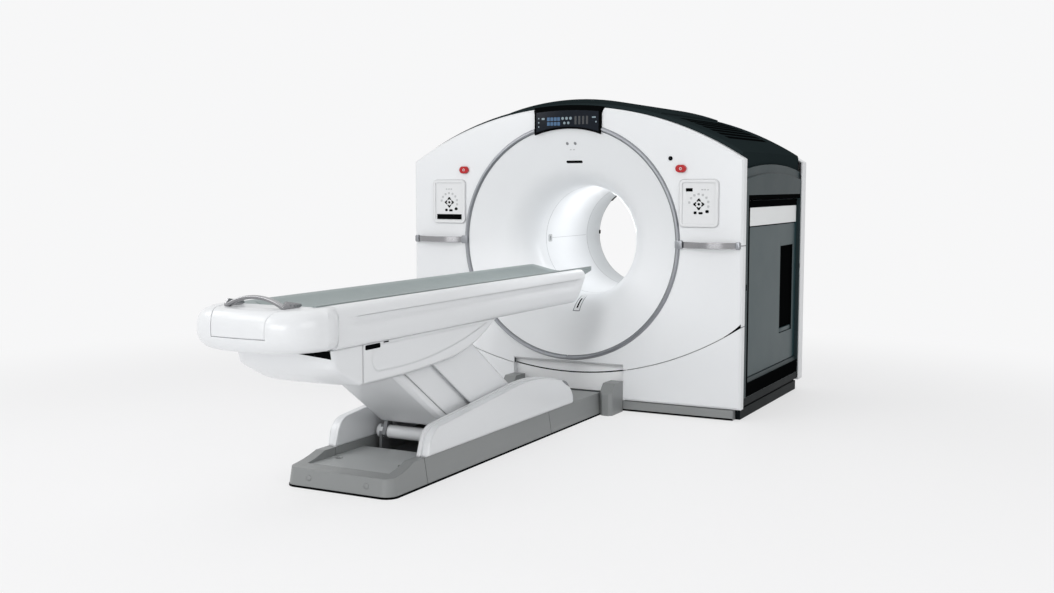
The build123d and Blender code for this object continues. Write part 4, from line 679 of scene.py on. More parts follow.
# Dock bay: black joint that carries on the front covers' arched seam, and a line along its top
SEAM_LOW, SEAM_RADIUS = 0.221, 2.0167
BAY_MARGIN = 0.008
JOINT_TOP, JOINT_FOOT, JOINT_DEPTH, JOINT_HEIGHT, JOINT_STEPS = 0.0004, 0.0076, 0.046, 0.005, 40
TOP_LINE_DOWN, TOP_LINE_MARGIN, TOP_LINE, TOP_LINE_ROOT = 0.003, 0.004, (0.004, 0.001), -0.002
bay_half = DOCK_HIGH.x - BAY_MARGIN


def seam(x):
    """Height of the covers' lower seam."""
    return SEAM_LOW + SEAM_RADIUS - sqrt(SEAM_RADIUS**2 - x**2)


places = [bay_half * (2 * i / JOINT_STEPS - 1) for i in range(JOINT_STEPS + 1)]
joint = [(x, seam(x) - JOINT_TOP) for x in places] + [(x, seam(x) - JOINT_FOOT) for x in reversed(places)]
slabs("dock_joint", [joint], JOINT_HEIGHT, facing(FRONT + JOINT_DEPTH), black, "frame")
top_line = rounded(0, DOCK_HIGH.z - TOP_LINE_DOWN, 2 * bay_half - TOP_LINE_MARGIN, *TOP_LINE)
slabs("dock_top_line", [top_line], PRINT, facing(FRONT), pale_grey, "frame", low=TOP_LINE_ROOT)

# Dark notches where the lower seam meets the side edges
SEAM_NOTCH_MARGIN, SEAM_NOTCH_LENGTH, SEAM_NOTCH_STEPS = 0.004, 0.1, 8
SEAM_NOTCH_HALF, SEAM_NOTCH_RISE, SEAM_NOTCH_CURVE = 0.002, 0.016, 1.5
corner = COVER_CORNER - SEAM_NOTCH_MARGIN
for side, word in SIDES:
    under, over = [], []
    for i in range(SEAM_NOTCH_STEPS + 1):
        x = corner - SEAM_NOTCH_LENGTH * i / SEAM_NOTCH_STEPS
        rise = SEAM_NOTCH_RISE * (1 - i / SEAM_NOTCH_STEPS)**SEAM_NOTCH_CURVE
        under.append((side * x, seam(x) - SEAM_NOTCH_HALF))
        over.append((side * x, seam(x) + SEAM_NOTCH_HALF + rise))
    slabs(f"seam_notch_{word}", [under + over[::-1]], PRINT, facing(FRONT), black, "frame")

# Side doors: black bands round the opening and on the leaf, pockets with a ledge, latch marks, and a painted
# shadow under each plate
BAND, BAND_FOOT = 0.026, 0.002
DOOR_GAP, LEAF_MARGIN = 0.006, 0.018
POCKET_DEPTH, POCKET_INSET, POCKET_LIP = 0.016, 0.0006, 0.0003
POCKET_BACK, POCKET_LENGTH, POCKET_LOW, POCKET_HIGH = 0.09, 0.29, 0.43, 1.024
LEDGE_INSET, LEDGE_RISE, LEDGE_FRONT, LEDGE_BACK = 0.002, 0.03, 0.012, 0.02
LEDGE_HEIGHT, LEDGE_EDGE = 0.012, 0.002
FRONT_LATCH_AWAY, REAR_LATCH_AWAY = 0.05, 0.008
# Latch marks: place up, width, height and corner
FRONT_LATCH, REAR_LATCH = (0.79, 0.014, 0.036, 0.004), (0.85, 0.01, 0.03, 0.004)
LEAF_CORNER, LEAF_BAND_OVER, LEAF_BAND_MARGIN = 0.003, 0.04, 0.002
LEAF_EDGE, LEAF_EDGE_IN, LEAF_EDGE_MARGIN = 0.03, 0.003, 0.016
PLATE_SHADOW_DOWN, PLATE_SHADOW_HEIGHT, PLATE_SHADOW_CORNER = 0.004, 0.006, 0.002
door_front, door_rear = DOOR_LOW.y - DOOR_GAP, DOOR_HIGH.y + DOOR_GAP
leaf_low, leaf_high = DOOR_LOW.z + LEAF_MARGIN, DOOR_HIGH.z - LEAF_MARGIN
door_foot = DOOR_LOW.z - DOOR_GAP
band_front, band_low = door_front - BAND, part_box("side_frames")[0].z + BAND_FOOT
band_top = leaf_high + DOOR_GAP
band_head = band_top + BAND
door_bands = [
    [(band_front, leaf_low), (door_front, leaf_low), (door_front, band_top), (band_front, band_head)],
    [(band_front, band_head), (door_front, band_top), (door_rear, band_top), (door_rear, band_head)],
    [(band_front, leaf_low), (band_front, band_low), (door_rear, band_low), (door_rear, door_foot),
     (door_front, door_foot), (door_front, leaf_low)],
]
latches = [rounded(door_front - FRONT_LATCH_AWAY, *FRONT_LATCH),
           rounded(door_rear + REAR_LATCH_AWAY, *REAR_LATCH)]
leaf_face = PLATE_LOW.x
pocket_rear = DOOR_HIGH.y - POCKET_BACK
pocket_front = pocket_rear - POCKET_LENGTH
liner_front, liner_rear = pocket_front + POCKET_INSET, pocket_rear - POCKET_INSET
liner_low, liner_high = POCKET_LOW + POCKET_INSET, POCKET_HIGH - POCKET_INSET
pocket = [(liner_front, liner_low), (liner_rear, liner_low),
          (liner_rear, liner_high), (liner_front, liner_high)]
ledge_low, ledge_high = POCKET_LOW + LEDGE_INSET, POCKET_LOW + LEDGE_RISE
ledge = [(pocket_front + LEDGE_INSET, ledge_low), (pocket_rear - LEDGE_INSET, ledge_low),
         (pocket_rear - LEDGE_BACK, ledge_high), (pocket_front + LEDGE_FRONT, ledge_high)]
plate_y, plate_length = (PLATE_LOW.y + PLATE_HIGH.y) / 2, PLATE_HIGH.y - PLATE_LOW.y
leaf_bands = [
    rounded(plate_y, (PLATE_HIGH.z + leaf_high) / 2, plate_length + LEAF_BAND_OVER,
            leaf_high - PLATE_HIGH.z - LEAF_BAND_MARGIN, LEAF_CORNER),
    rounded(DOOR_LOW.y + LEAF_EDGE_IN + LEAF_EDGE / 2, (leaf_low + PLATE_LOW.z) / 2, LEAF_EDGE,
            PLATE_LOW.z - leaf_low - LEAF_EDGE_MARGIN, LEAF_CORNER),
]
plate_shadow_outline = rounded(plate_y, PLATE_LOW.z - PLATE_SHADOW_DOWN, plate_length, PLATE_SHADOW_HEIGHT, PLATE_SHADOW_CORNER)
for side, word in SIDES:
    body = f"{word}_door"
    skin, leaf = flank(SIDE, side), flank(leaf_face, side)
    pocket_floor = flank(leaf_face - POCKET_DEPTH, side)
    slabs(f"door_bands_{word}", door_bands, INSERT, skin, black, "frame")
    slabs(f"door_latches_{word}", latches, LATCH, skin, black, "frame", bevel=SMALL_EDGE)
    liner = bmesh.new()
    rim = raised(liner, pocket, leaf, POCKET_LIP)
    bottom = raised(liner, pocket, pocket_floor, POCKET_INSET)
    liner.faces.new(bottom)
    bridge(liner, rim, bottom)
    add_piece(f"pocket_lining_{word}", liner, black, body)
    slabs(f"pocket_ledge_{word}", [ledge], LEDGE_HEIGHT, pocket_floor, slate, body,
          bevel=LEDGE_EDGE)
    slabs(f"leaf_band_{word}", leaf_bands, INSERT, leaf, black, body)
    slabs(f"plate_shadow_{word}", [plate_shadow_outline], INSERT, leaf, black, body)

# Roof: black inserts over the louvre slots, laid on the arch
LOUVRE_FIRST, LOUVRE_LAST, LOUVRE_COUNT = 0.640, 0.928, 7
LOUVRE_WIDTH, LOUVRE_LENGTH, LOUVRE_CLEAR, LOUVRE_LIFT = 0.030, 0.79, 0.43, 0.0015
LOUVRE_CELLS, ABOVE_ROOF = 6, 3
roof = nodes["roof_cover"]
roof_middle = (ROOF_LOW.y + ROOF_HIGH.y) / 2


def on_roof(x):
    """Roof surface about a line along the gantry: u across, v along, raised upwards."""
    def place(u, v, w):
        start = Vector((x + u, roof_middle - LOUVRE_CLEAR, ABOVE_ROOF))
        ground = roof.ray_cast(start, Vector((0, 0, -1)))[1]
        return Vector((x + u, roof_middle + v, ground.z + w))
    return place


for side, word in SIDES:
    for i in range(LOUVRE_COUNT):
        x = side * (LOUVRE_FIRST + (LOUVRE_LAST - LOUVRE_FIRST) * i / (LOUVRE_COUNT - 1))
        patch(f"louvre_{word}_{i}", LOUVRE_WIDTH, LOUVRE_LENGTH, LOUVRE_LIFT, on_roof(x), black, "frame",
              "black", cells=LOUVRE_CELLS)

# Rear cover: seams, vents and a line round its mouth
# Seams: place across and up, width, height and corner
REAR_SEAMS = ((0, 0.42, 2.2, 0.004, 0.001), (-0.62, 0.9, 0.004, 0.95, 0.001), (0.62, 0.9, 0.004, 0.95, 0.001))
VENT_X, VENT_Z, VENT_STEP, VENT_COUNT = 0.6, 0.2, 0.028, 5
VENT = (0.36, 0.011, 0.005)
MOUTH_INNER, MOUTH_OUTER, MOUTH_ROOT = 0.545, 0.549, 0.001


def rearward(u, v, w):
    """Rear surface: u across, v up, raised outwards."""
    return Vector((-u, REAR + w, v))


slabs("rear_seams", [rounded(*line) for line in REAR_SEAMS], HAIR, rearward, mark_grey, "frame")
vents = [rounded(u, VENT_Z + VENT_STEP * i, *VENT) for u in (-VENT_X, VENT_X) for i in range(VENT_COUNT)]
slabs("rear_vents", vents, INSERT, rearward, black, "frame")
mouth_line = [(MOUTH_INNER, REAR - MOUTH_ROOT), (MOUTH_INNER, REAR + PRINT), (MOUTH_OUTER, REAR + PRINT),
              (MOUTH_OUTER, REAR - MOUTH_ROOT)]
lathe("rear_mouth_line", mouth_line, about_scan_axis, mark_grey, "frame")

# Cradle mat: a thin crowned cushion in the trough, thinner at its ends, with a faint ripple
MAT_ACROSS, MAT_ALONG = 28, 150
MAT_THICKNESS, MAT_LIFT, MAT_WELD, MAT_SHARP = 0.010, 0.0003, 0.0002, 60
MAT_END_SHARE, MAT_END_ROWS = 0.35, 3
TROUGH_MARGIN, TROUGH_DEPTH = 0.014, 0.04
RIPPLE, RIPPLE_ALONG, RIPPLE_ACROSS = 0.0003, 37, 9
mat = bmesh.new()
mat_half = PAD_HIGH.x
trough_radius = ((mat_half + TROUGH_MARGIN)**2 + TROUGH_DEPTH**2) / (2 * TROUGH_DEPTH)
layers = []
for layer in (0, 1):
    rows = []
    for j in range(MAT_ALONG + 1):
        t = j / MAT_ALONG
        y = PAD_LOW.y + t * (PAD_HIGH.y - PAD_LOW.y)
        end = min(1, min(t, 1 - t) * MAT_ALONG / MAT_END_ROWS)
        row = []
        for i in range(MAT_ACROSS + 1):
            s = 2 * i / MAT_ACROSS - 1
            base = PAD_LOW.z + trough_radius - sqrt(trough_radius**2 - (s * mat_half)**2)
            swell = MAT_THICKNESS * sqrt(1 - s**2) * (MAT_END_SHARE + (1 - MAT_END_SHARE) * end)
            ripple = RIPPLE * sin(RIPPLE_ALONG * y + RIPPLE_ACROSS * s) * (1 - s**2)
            row.append(mat.verts.new((s * mat_half, y, base + layer * (swell + ripple) + MAT_LIFT)))
        rows.append(row)
    layers.append(rows)
for rows in layers:
    loft(mat, rows, closed=False)
for j in (0, MAT_ALONG):
    bridge(mat, layers[0][j][1:MAT_ACROSS], layers[1][j][1:MAT_ACROSS], closed=False)
bmesh.ops.remove_doubles(mat, verts=mat.verts, dist=MAT_WELD)
mat_piece = add_piece("cradle_mat", mat, pad_grey, "cradle", MAT_SHARP)
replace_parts(mat_piece, "cradle_pad")

# Nose and foot: one soap-like form, parted by the notch of the cradle's foot
NOSE_EDGE, NOSE_ROUND, NOSE_TURNS = 0.052, 0.072, 8
NOSE_BELLY, NOSE_BOW, NOSE_CORNER, NOSE_CORNER_STEPS = 0.11, 0.03, 0.15, 12
# Plan of the nose: how far its points stay inside the belly, and shares of its lengths
NOSE_CORNER_IN, NOSE_START_IN, NOSE_SHOULDER_IN, NOSE_START_GAP = 0.025, 0.004, 0.012, 0.004
NOSE_BACK_SHARE, NOSE_SHOULDER_SHARE, NOSE_END_SHARE, NOSE_FLAT_SHARE = 0.55, 0.4, 0.22, 0.05
NOTCH_FRONT, NOTCH_BACK, NOTCH_BEND = 0.113, 0.216, 0.176
FOOT_GAP, FOOT_SHELL = 0.002, 0.04
# How far cutters reach past the nose
CUT_HALF, CUT_AHEAD, CUT_BEHIND, CUT_FOOT, CUT_OVER = 0.4, 0.05, 0.2, 0.3, 0.1
CUT_EDGE, CUT_ANGLE = 0.003, 50


def nose_outline(inset):
    """Plan of the nose, drawn in by an inset on its free sides."""
    back, front = NOSE_HIGH.y, NOSE_LOW.y + inset
    belly = NOSE_HIGH.x - inset
    corner_x, corner_y = belly - NOSE_CORNER_IN, front + NOSE_BOW
    start_x, start_y = belly - NOSE_START_IN, corner_y + NOSE_CORNER
    end_x, end_y = corner_x - NOSE_CORNER, front + NOSE_BOW * NOSE_END_SHARE
    belly_y = max(back - NOSE_BELLY, start_y + NOSE_START_GAP)
    right = [(SIDE_COVER.x - NOSE_BACK_SHARE * inset, back),
             (belly - NOSE_SHOULDER_IN, back - NOSE_SHOULDER_SHARE * NOSE_BELLY), (belly, belly_y)]
    for i in range(NOSE_CORNER_STEPS + 1):
        t = i / NOSE_CORNER_STEPS
        right.append(((1 - t)**2 * start_x + 2 * t * (1 - t) * corner_x + t**2 * end_x,
                      (1 - t)**2 * start_y + 2 * t * (1 - t) * corner_y + t**2 * end_y))
    right.append((end_x / 2, front + NOSE_BOW * NOSE_FLAT_SHARE))
    left = [(-x, y) for x, y in reversed(right)]
    return right + [(0, front)] + left


def nose_body():
    """Closed form of the whole nose."""
    build = bmesh.new()
    levels = []
    for k in range(NOSE_TURNS + 1):
        turn = pi / 2 * k / NOSE_TURNS
        levels.append((NOSE_LOW.z + NOSE_ROUND * (1 - sin(turn)), NOSE_EDGE * (1 - cos(turn))))
    levels = levels[::-1] + [(NOSE_HIGH.z - (z - NOSE_LOW.z), inset) for z, inset in levels]
    loops = [[build.verts.new((x, y, z)) for x, y in nose_outline(inset)] for z, inset in levels]
    loft(build, loops)
    build.faces.new(loops[0])
    build.faces.new(loops[-1])
    return build


def prism(outline, low, high):
    """Upright prism, as a cutter."""
    build = bmesh.new()
    block(build, outline, on_ground, low, high)
    return build


def notch(gap):
    """Plan of the notch, narrowed by a gap."""
    front, bend, back = NOSE_LOW.y - CUT_AHEAD, NOSE_LOW.y + NOTCH_BEND, NOSE_HIGH.y + CUT_BEHIND
    narrow, wide = NOTCH_FRONT - gap, NOTCH_BACK - gap
    return [(-narrow, front), (narrow, front), (wide, bend), (wide, back), (-wide, back), (-wide, bend)]


def behind(front):
    """Plan of all that lies behind a Y, for cutting the foot."""
    back = NOSE_HIGH.y + CUT_FOOT
    return [(-CUT_HALF, front), (CUT_HALF, front), (CUT_HALF, back), (-CUT_HALF, back)]


def carved(name, build, steps):
    """Bmesh of a form after boolean steps with cutters, and softened cut edges."""
    body = new_object(name, build)
    cutters = []
    for operation, cutter in steps:
        tool = new_object(f"{name}_cutter", cutter)
        change = body.modifiers.new("cut", "BOOLEAN")
        change.operation = operation
        change.solver = "MANIFOLD"
        change.object = tool
        cutters.append(tool)
    soften = body.modifiers.new("soften", "BEVEL")
    soften.width = CUT_EDGE
    soften.segments = 2
    soften.limit_method = "ANGLE"
    soften.angle_limit = radians(CUT_ANGLE)
    bpy.context.view_layer.update()
    result = bmesh.new()
    result.from_mesh(body.evaluated_get(bpy.context.evaluated_depsgraph_get()).to_mesh())
    for used in [body] + cutters:
        bpy.data.objects.remove(used)
    return result


nose_under, nose_over = NOSE_LOW.z - CUT_OVER, NOSE_HIGH.z + CUT_OVER
nose = carved("nose_form", nose_body(), [("DIFFERENCE", prism(notch(0), FOOT_LOW.z - FOOT_GAP, nose_over))])
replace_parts(add_piece("nose_shell", nose, white, "platform"), "nose_cover")
foot = carved("foot_form", nose_body(), [
    ("INTERSECT", prism(notch(FOOT_GAP), FOOT_LOW.z, nose_over)),
    ("DIFFERENCE", prism(behind(NOSE_LOW.y + FOOT_SHELL), nose_under, CRADLE_LOW)),
    ("DIFFERENCE", prism(behind(FOOT_HIGH.y), nose_under, nose_over))])
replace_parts(add_piece("foot_cover", foot, white, "cradle"), "cradle_foot")

# Release handle: a bowed chrome band with swept side plates and their bolts
ARCH_HALF, ARCH_FOOT, ARCH_STEPS = 0.151, 0.011, 40
ARCH_BAND = (0.026, 0.016, 0.0075, 5)
CHEEK_HALF = 0.0045
# Side plate: place behind the handle's front or ahead of its back, and height over its foot
CHEEK_FRONT = ((0.02, 0.031), (0.001, 0.012))
CHEEK_BACK = ((0.012, 0), (0.001, 0.005), (0.004, 0.014))
CHEEK_START = 0.001
# Bolts: place behind the handle's front, height over its foot, and radius
ARCH_BOLTS, BOLT_LIFT = ((0.045, 0.013, 0.0045), (0.075, 0.01, 0.004)), 0.001
arch_low = ARCH_LOW.z + ARCH_FOOT
arch_rise = ARCH_HIGH.z - arch_low
arch_radius = (ARCH_HALF**2 + arch_rise**2) / (2 * arch_rise)
band_half, band_down = ARCH_BAND[0] / 2, ARCH_BAND[1] / 2
band = bmesh.new()
loops = []
for i in range(ARCH_STEPS + 1):
    x = ARCH_HALF * (2 * i / ARCH_STEPS - 1)
    lean = x / arch_radius
    top = arch_low + sqrt(arch_radius**2 - x**2) - arch_radius + arch_rise
    loop = []
    for a, b in rounded(0, 0, *ARCH_BAND):
        down = b - band_down
        loop.append(band.verts.new((x + down * lean, ARCH_LOW.y + band_half + a, top + down)))
    loops.append(loop)
loft(band, loops)
band.faces.new(loops[0])
band.faces.new(loops[-1])
cheek = [(ARCH_LOW.y + CHEEK_START, ARCH_LOW.z)]
cheek += [(ARCH_HIGH.y - ahead, ARCH_LOW.z + up) for ahead, up in CHEEK_BACK]
cheek += [(ARCH_LOW.y + back, ARCH_LOW.z + up) for back, up in CHEEK_FRONT]
for side in (-1, 1):
    block(band, cheek, flank(ARCH_HALF, side), -CHEEK_HALF, CHEEK_HALF)
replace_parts(add_piece("arch_handle", band, chrome, "handle"), "release_handle")
bolts = [disc(ARCH_LOW.y + back, ARCH_LOW.z + up, radius) for back, up, radius in ARCH_BOLTS]
for side, word in SIDES:
    slabs(f"arch_bolts_{word}", bolts, BOLT_LIFT, flank(ARCH_HALF + CHEEK_HALF, side), mark_grey, "handle",
          bevel=FINE_EDGE)

# Hull: a bow rounded in plan, dark vents, and a painted shadow under the nose, a dark wedge
HULL_LIP, HULL_CHAMFER, HULL_WALL, HULL_CLEAR = 0.010, 0.012, 0.008, 0.0005
BOW_LENGTH, BOW_CORNER, BOW_TURNS = 0.288, 0.20, 16
BOW_LEVELS, BOW_LEVEL_CURVE = 28, 1.5
SKIRT_CLEAR, SKIRT_DROP, BOW_SHALLOW = 0.005, 0.01, 0.02
# Painted shadow under the nose: lowest height, start and span of its turn round the corner, and share of its
# rise
NOSE_SHADOW_LOW, NOSE_SHADOW_START, NOSE_SHADOW_SPAN, NOSE_SHADOW_RISE = 0.674, 0.32, 1.2, 0.97
# Vents: place ahead of the front covers, place up, width, height and corner
HULL_VENTS = ((2.487, 0.6965, 0.113, 0.021, 0.006), (2.385, 0.706, 0.04, 0.006, 0.002))
bow_size = HULL_HIGH - HULL_LOW
bow_height = HULL_HIGH.z - HULL_LIP - HULL_LOW.z
bow_radius = (BOW_LENGTH**2 + bow_height**2) / (2 * bow_height)
nose_shadow_top = HULL_HIGH.z - HULL_CLEAR
skirt_low = CHASSIS_LOW.z - SKIRT_DROP


def bow(z):
    """Front of the bow at a height, and how far its round corners reach back."""
    drop = HULL_LOW.z + bow_radius - min(z, HULL_HIGH.z - HULL_LIP)
    front = HULL_LOW.y + BOW_LENGTH - sqrt(max(bow_radius**2 - drop**2, 0))
    front = min(front, HULL_HIGH.y - HULL_CLEAR)
    share = min(max((skirt_low - z) / (skirt_low - HULL_LOW.z), 0), 1)
    upper = max(CHASSIS_LOW.y - SKIRT_CLEAR - front, BOW_SHALLOW)
    return front, min((1 - share) * upper + share * (HULL_HIGH.y - front), HULL_HIGH.y - front)


def bow_outline(z):
    """Plan of the bow at a height."""
    front, depth = bow(z)
    half_width = HULL_SIDE - max(HULL_CHAMFER - (z - HULL_LOW.z), 0)
    right = [(half_width, HULL_HIGH.y)]
    for k in range(BOW_TURNS + 1):
        turn = pi / 2 * k / BOW_TURNS
        right.append((half_width - BOW_CORNER * (1 - cos(turn)), front + depth * (1 - sin(turn))))
    return right + [(-x, y) for x, y in reversed(right)]


def on_nose_shadow(u, v, w):
    """Painted shadow under the nose, a dark wedge on the bow's right corner: u from side to front, v up,
    raised outwards.
    """
    turn = NOSE_SHADOW_START + NOSE_SHADOW_SPAN * (u + 0.5)
    low = NOSE_SHADOW_LOW + (nose_shadow_top - NOSE_SHADOW_LOW) * NOSE_SHADOW_RISE * (u + 0.5)
    z = low + (v + 0.5) * (nose_shadow_top - low)
    front, depth = bow(z)
    x = HULL_SIDE - BOW_CORNER * (1 - cos(turn)) + w * cos(turn)
    return Vector((x, front + depth * (1 - sin(turn)) - w * sin(turn), z))


bow_form = bmesh.new()
skins = []
for wall in (0, HULL_WALL):
    keep_x, keep_y, keep_z = 1 - 2 * wall / bow_size.x, 1 - wall / bow_size.y, 1 - wall / bow_size.z
    skin = []
    for k in range(BOW_LEVELS + 1):
        z = HULL_LOW.z + bow_size.z * (k / BOW_LEVELS)**BOW_LEVEL_CURVE
        height = HULL_HIGH.z - (HULL_HIGH.z - z) * keep_z
        skin.append([bow_form.verts.new((x * keep_x, HULL_HIGH.y - (HULL_HIGH.y - y) * keep_y, height))
                     for x, y in bow_outline(z)])
    skins.append(skin)
for skin in skins:
    loft(bow_form, skin, closed=False)
outer, inner = skins
for k in (0, -1):
    bridge(bow_form, outer[k], inner[k], closed=False)
    bridge(bow_form, [row[k] for row in outer], [row[k] for row in inner], closed=False)
hull_bow = add_piece("hull_bow", bow_form, white_soft, "platform", SHELL_SHARP)
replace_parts(hull_bow, "hull_front")
patch("bow_nose_shadow", 1, 1, INSERT, on_nose_shadow, black, "platform", "black")
vents = [rounded(FRONT - ahead, *rest) for ahead, *rest in HULL_VENTS]
for side, word in SIDES:
    slabs(f"hull_vents_{word}", vents, INSERT, flank(HULL_SIDE, side), black, "platform")

# Leg: the white sleeve round the front pivot
SLEEVE_HALF, SLEEVE_BORE, SLEEVE_END, SLEEVE_RADIUS, SLEEVE_EDGE = 0.214, 0.0206, 0.03, 0.034, 0.004
SLEEVE_STEPS = 48
sleeve_round = SLEEVE_HALF - SLEEVE_EDGE
sleeve = [(SLEEVE_BORE, -SLEEVE_HALF), (SLEEVE_END, -SLEEVE_HALF), (SLEEVE_RADIUS, -sleeve_round),
          (SLEEVE_RADIUS, sleeve_round), (SLEEVE_END, SLEEVE_HALF), (SLEEVE_BORE, SLEEVE_HALF)]
lathe("pivot_sleeve", sleeve, about_pivot, white, "front_arm", steps=SLEEVE_STEPS)

# Leg covers: two stepped layers with round corners, and the painted shade of a scoop at the rear end
# Upper corners as shares of length and height, and the reach of each corner's rounding
LEG_CORNERS = ((0.03, 0.57), (0.69, 1.0), (0.93, 0.68), (1.0, 0.30))
LEG_REACH = (0, 0.07, 0.2, 0.075, 0.05, 0)
# Layers: drawn in at the front and along the top, depth of the inner face, thickness and softened edge
LEG_LAYERS = ((0, 0, 0.058, 0.02, 0.003), (0.012, 0.007, 0.038, 0.038, 0.012))
# Painted shade of the scoop at the rear end, drawn as a dark crescent
SCOOP_BACK, SCOOP_LENGTH, SCOOP_HIGH, SCOOP_FALL, SCOOP_STEPS = 0.15, 0.1, 0.285, 0.05, 14
SCOOP_OVER, SCOOP_UNDER, SCOOP_TIP = 0.014, 0.004, 0.0005


def leg_outline(front, top):
    """Side view of a leg cover, drawn in at its front end and along its top."""
    length = LEG_COVER_HIGH.y - LEG_COVER_LOW.y
    height = LEG_COVER_HIGH.z - LEG_COVER_LOW.z
    start = LEG_COVER_LOW.y + front
    corners = [(start, LEG_COVER_LOW.z)]
    for along, up in LEG_CORNERS:
        corners.append((start + along * (length - front), LEG_COVER_LOW.z + up * height - top))
    corners.append((LEG_COVER_HIGH.y, LEG_COVER_LOW.z))
    return round_corners(corners, LEG_REACH)


upper, lower = [], []
for i in range(SCOOP_STEPS + 1):
    t = i / SCOOP_STEPS
    y, z = LEG_COVER_HIGH.y - SCOOP_BACK + SCOOP_LENGTH * t, SCOOP_HIGH - SCOOP_FALL * t
    upper.append((y, z + SCOOP_OVER * sin(pi * t)))
    lower.append((y, z - SCOOP_UNDER * sin(pi * t) - SCOOP_TIP))
for side, word in SIDES:
    for k, (front, top, inside, thick, edge) in enumerate(LEG_LAYERS):
        cover = slabs(f"leg_cover_{word}_{k}", [leg_outline(front, top)], thick,
                      flank(LEG_COVER_HIGH.x - inside, side), white_soft, "frame", bevel=edge)
        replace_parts(cover, "leg_covers")
    slabs(f"leg_scoop_shade_{word}", [upper + lower[::-1]], PRINT, flank(LEG_COVER_HIGH.x, side), mark_grey,
          "frame")

# Side covers: shells with a rounded shoulder, a long soft channel and a slanted end
SIDE_GAP, SIDE_SLANT, SIDE_STATIONS = 0.003, 0.148, 64
SIDE_WALL, SIDE_WALL_SHARE = 0.006, 0.93
CHANNEL_START, CHANNEL_END, CHANNEL_EASE = 0.09, 0.05, 0.06
# Section shares: out from the inner edge, up from the bottom, depth of the channel in metres
SIDE_SECTION = (
    (0, 1, 0), (0.29, 1, 0), (0.48, 0.984, 0), (0.67, 0.945, 0), (0.83, 0.89, 0), (0.94, 0.83, 0),
    (1, 0.765, 0), (1, 0.735, 0), (1, 0.725, 0.006), (1, 0.69, 0.011), (1, 0.60, 0.0125), (1, 0.55, 0.010),
    (1, 0.525, 0.004), (1, 0.505, 0), (0.995, 0.36, 0), (0.95, 0.2, 0), (0.87, 0.09, 0), (0.74, 0.025, 0),
    (0.57, 0, 0), (0, 0, 0))
side_inner = FOOT_HIGH.x + SIDE_GAP
side_front = SIDE_COVER_LOW.y
side_middle = (SIDE_COVER_LOW.z + SIDE_COVER.z) / 2


def side_point(t, out, up, depth):
    """Point of a side cover's outer skin, a share t along its length."""
    z = SIDE_COVER_LOW.z + up * (SIDE_COVER.z - SIDE_COVER_LOW.z)
    end = SIDE_COVER.y - SIDE_SLANT * (1 - up)
    y = side_front + t * (end - side_front)
    ease = min((y - side_front - CHANNEL_START) / CHANNEL_EASE, (end - CHANNEL_END - y) / CHANNEL_EASE)
    ease = min(max(ease, 0), 1)
    x = side_inner + out * (SIDE_COVER.x - side_inner) - depth * ease * ease * (3 - 2 * ease)
    return x, y, z


for side, word in SIDES:
    cover = bmesh.new()
    rows = []
    for j in range(SIDE_STATIONS + 1):
        outer, inner = [], []
        for shares in SIDE_SECTION:
            x, y, z = side_point(j / SIDE_STATIONS, *shares)
            outer.append(cover.verts.new((side * x, y, z)))
            inner.append(cover.verts.new((side * max(x - SIDE_WALL, side_inner), y,
                                          side_middle + (z - side_middle) * SIDE_WALL_SHARE)))
        rows.append(outer + inner[::-1])
    loft(cover, rows)
    half_count = len(SIDE_SECTION)
    for row in (rows[0], rows[-1]):
        bridge(cover, row[:half_count], row[:half_count - 1:-1], closed=False)
    shell = add_piece(f"side_cover_{word}", cover, white, "platform", SHELL_SHARP)
    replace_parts(shell, "side_covers")

# Base: painted contact shadow at the floor, a black strip round its foot, and two plugs in the leaning front
# face
BASE_SHADOW_OVER, BASE_SHADOW_HEIGHT, BASE_SHADOW_LOW, BASE_SHADOW_CORNER = 0.001, 0.010, 0.0005, (0.06, 8)
PLUG_X, PLUG_Z, PLUG_RADIUS = 0.16, 0.05, 0.014
CAP_LEAN = tan(radians(8.75))


def on_cap(u, v, w):
    """Leaning front face of the base: u across, v up, raised forwards."""
    return Vector((u, CAP_LOW.y + CAP_LEAN * v - w, v))


base_shadow_outline = rounded(0, (CAP_LOW.y + BASE_REAR) / 2, 2 * CAP_HIGH.x + BASE_SHADOW_OVER, BASE_REAR - CAP_LOW.y + BASE_SHADOW_OVER,
               *BASE_SHADOW_CORNER)
slabs("base_contact_shadow", [base_shadow_outline], BASE_SHADOW_HEIGHT, on_ground, black, "frame", low=BASE_SHADOW_LOW)
plugs = [disc(x, PLUG_Z, PLUG_RADIUS) for x in (-PLUG_X, PLUG_X)]
slabs("base_plugs", plugs, KEY, on_cap, base_grey, "frame", bevel=SMALL_EDGE)

# Gantry: painted contact shadow along the foot of the kick plate, a black strip
KICK_SHADOW_HEIGHT, KICK_SHADOW_CORNER = 0.011, 0.001
kick_contact_shadow = rounded(0, KICK_LOW.z + KICK_SHADOW_HEIGHT / 2, KICK_HIGH.x - KICK_LOW.x, KICK_SHADOW_HEIGHT, KICK_SHADOW_CORNER)
slabs("kick_contact_shadow", [kick_contact_shadow], INSERT, facing(KICK_LOW.y), black, "frame")


# Studio: pale floor, soft lamps and a white surround
def seen_rays(tree):
    """One for rays that show the surround: from the camera, in a reflection or through glass."""
    path = tree.nodes.new("ShaderNodeLightPath")
    shown = math_node(tree, "MAXIMUM", path.outputs["Is Camera Ray"], path.outputs["Is Glossy Ray"])
    return math_node(tree, "MAXIMUM", shown, path.outputs["Is Transmission Ray"])


def mixed(tree, share, first, second, output):
    """Two shaders mixed by a share, joined to an output node."""
    mix = tree.nodes.new("ShaderNodeMixShader")
    tree.links.new(share, mix.inputs["Fac"])
    tree.links.new(first, mix.inputs[1])
    tree.links.new(second, mix.inputs[2])
    tree.links.new(mix.outputs["Shader"], tree.nodes[output].inputs["Surface"])


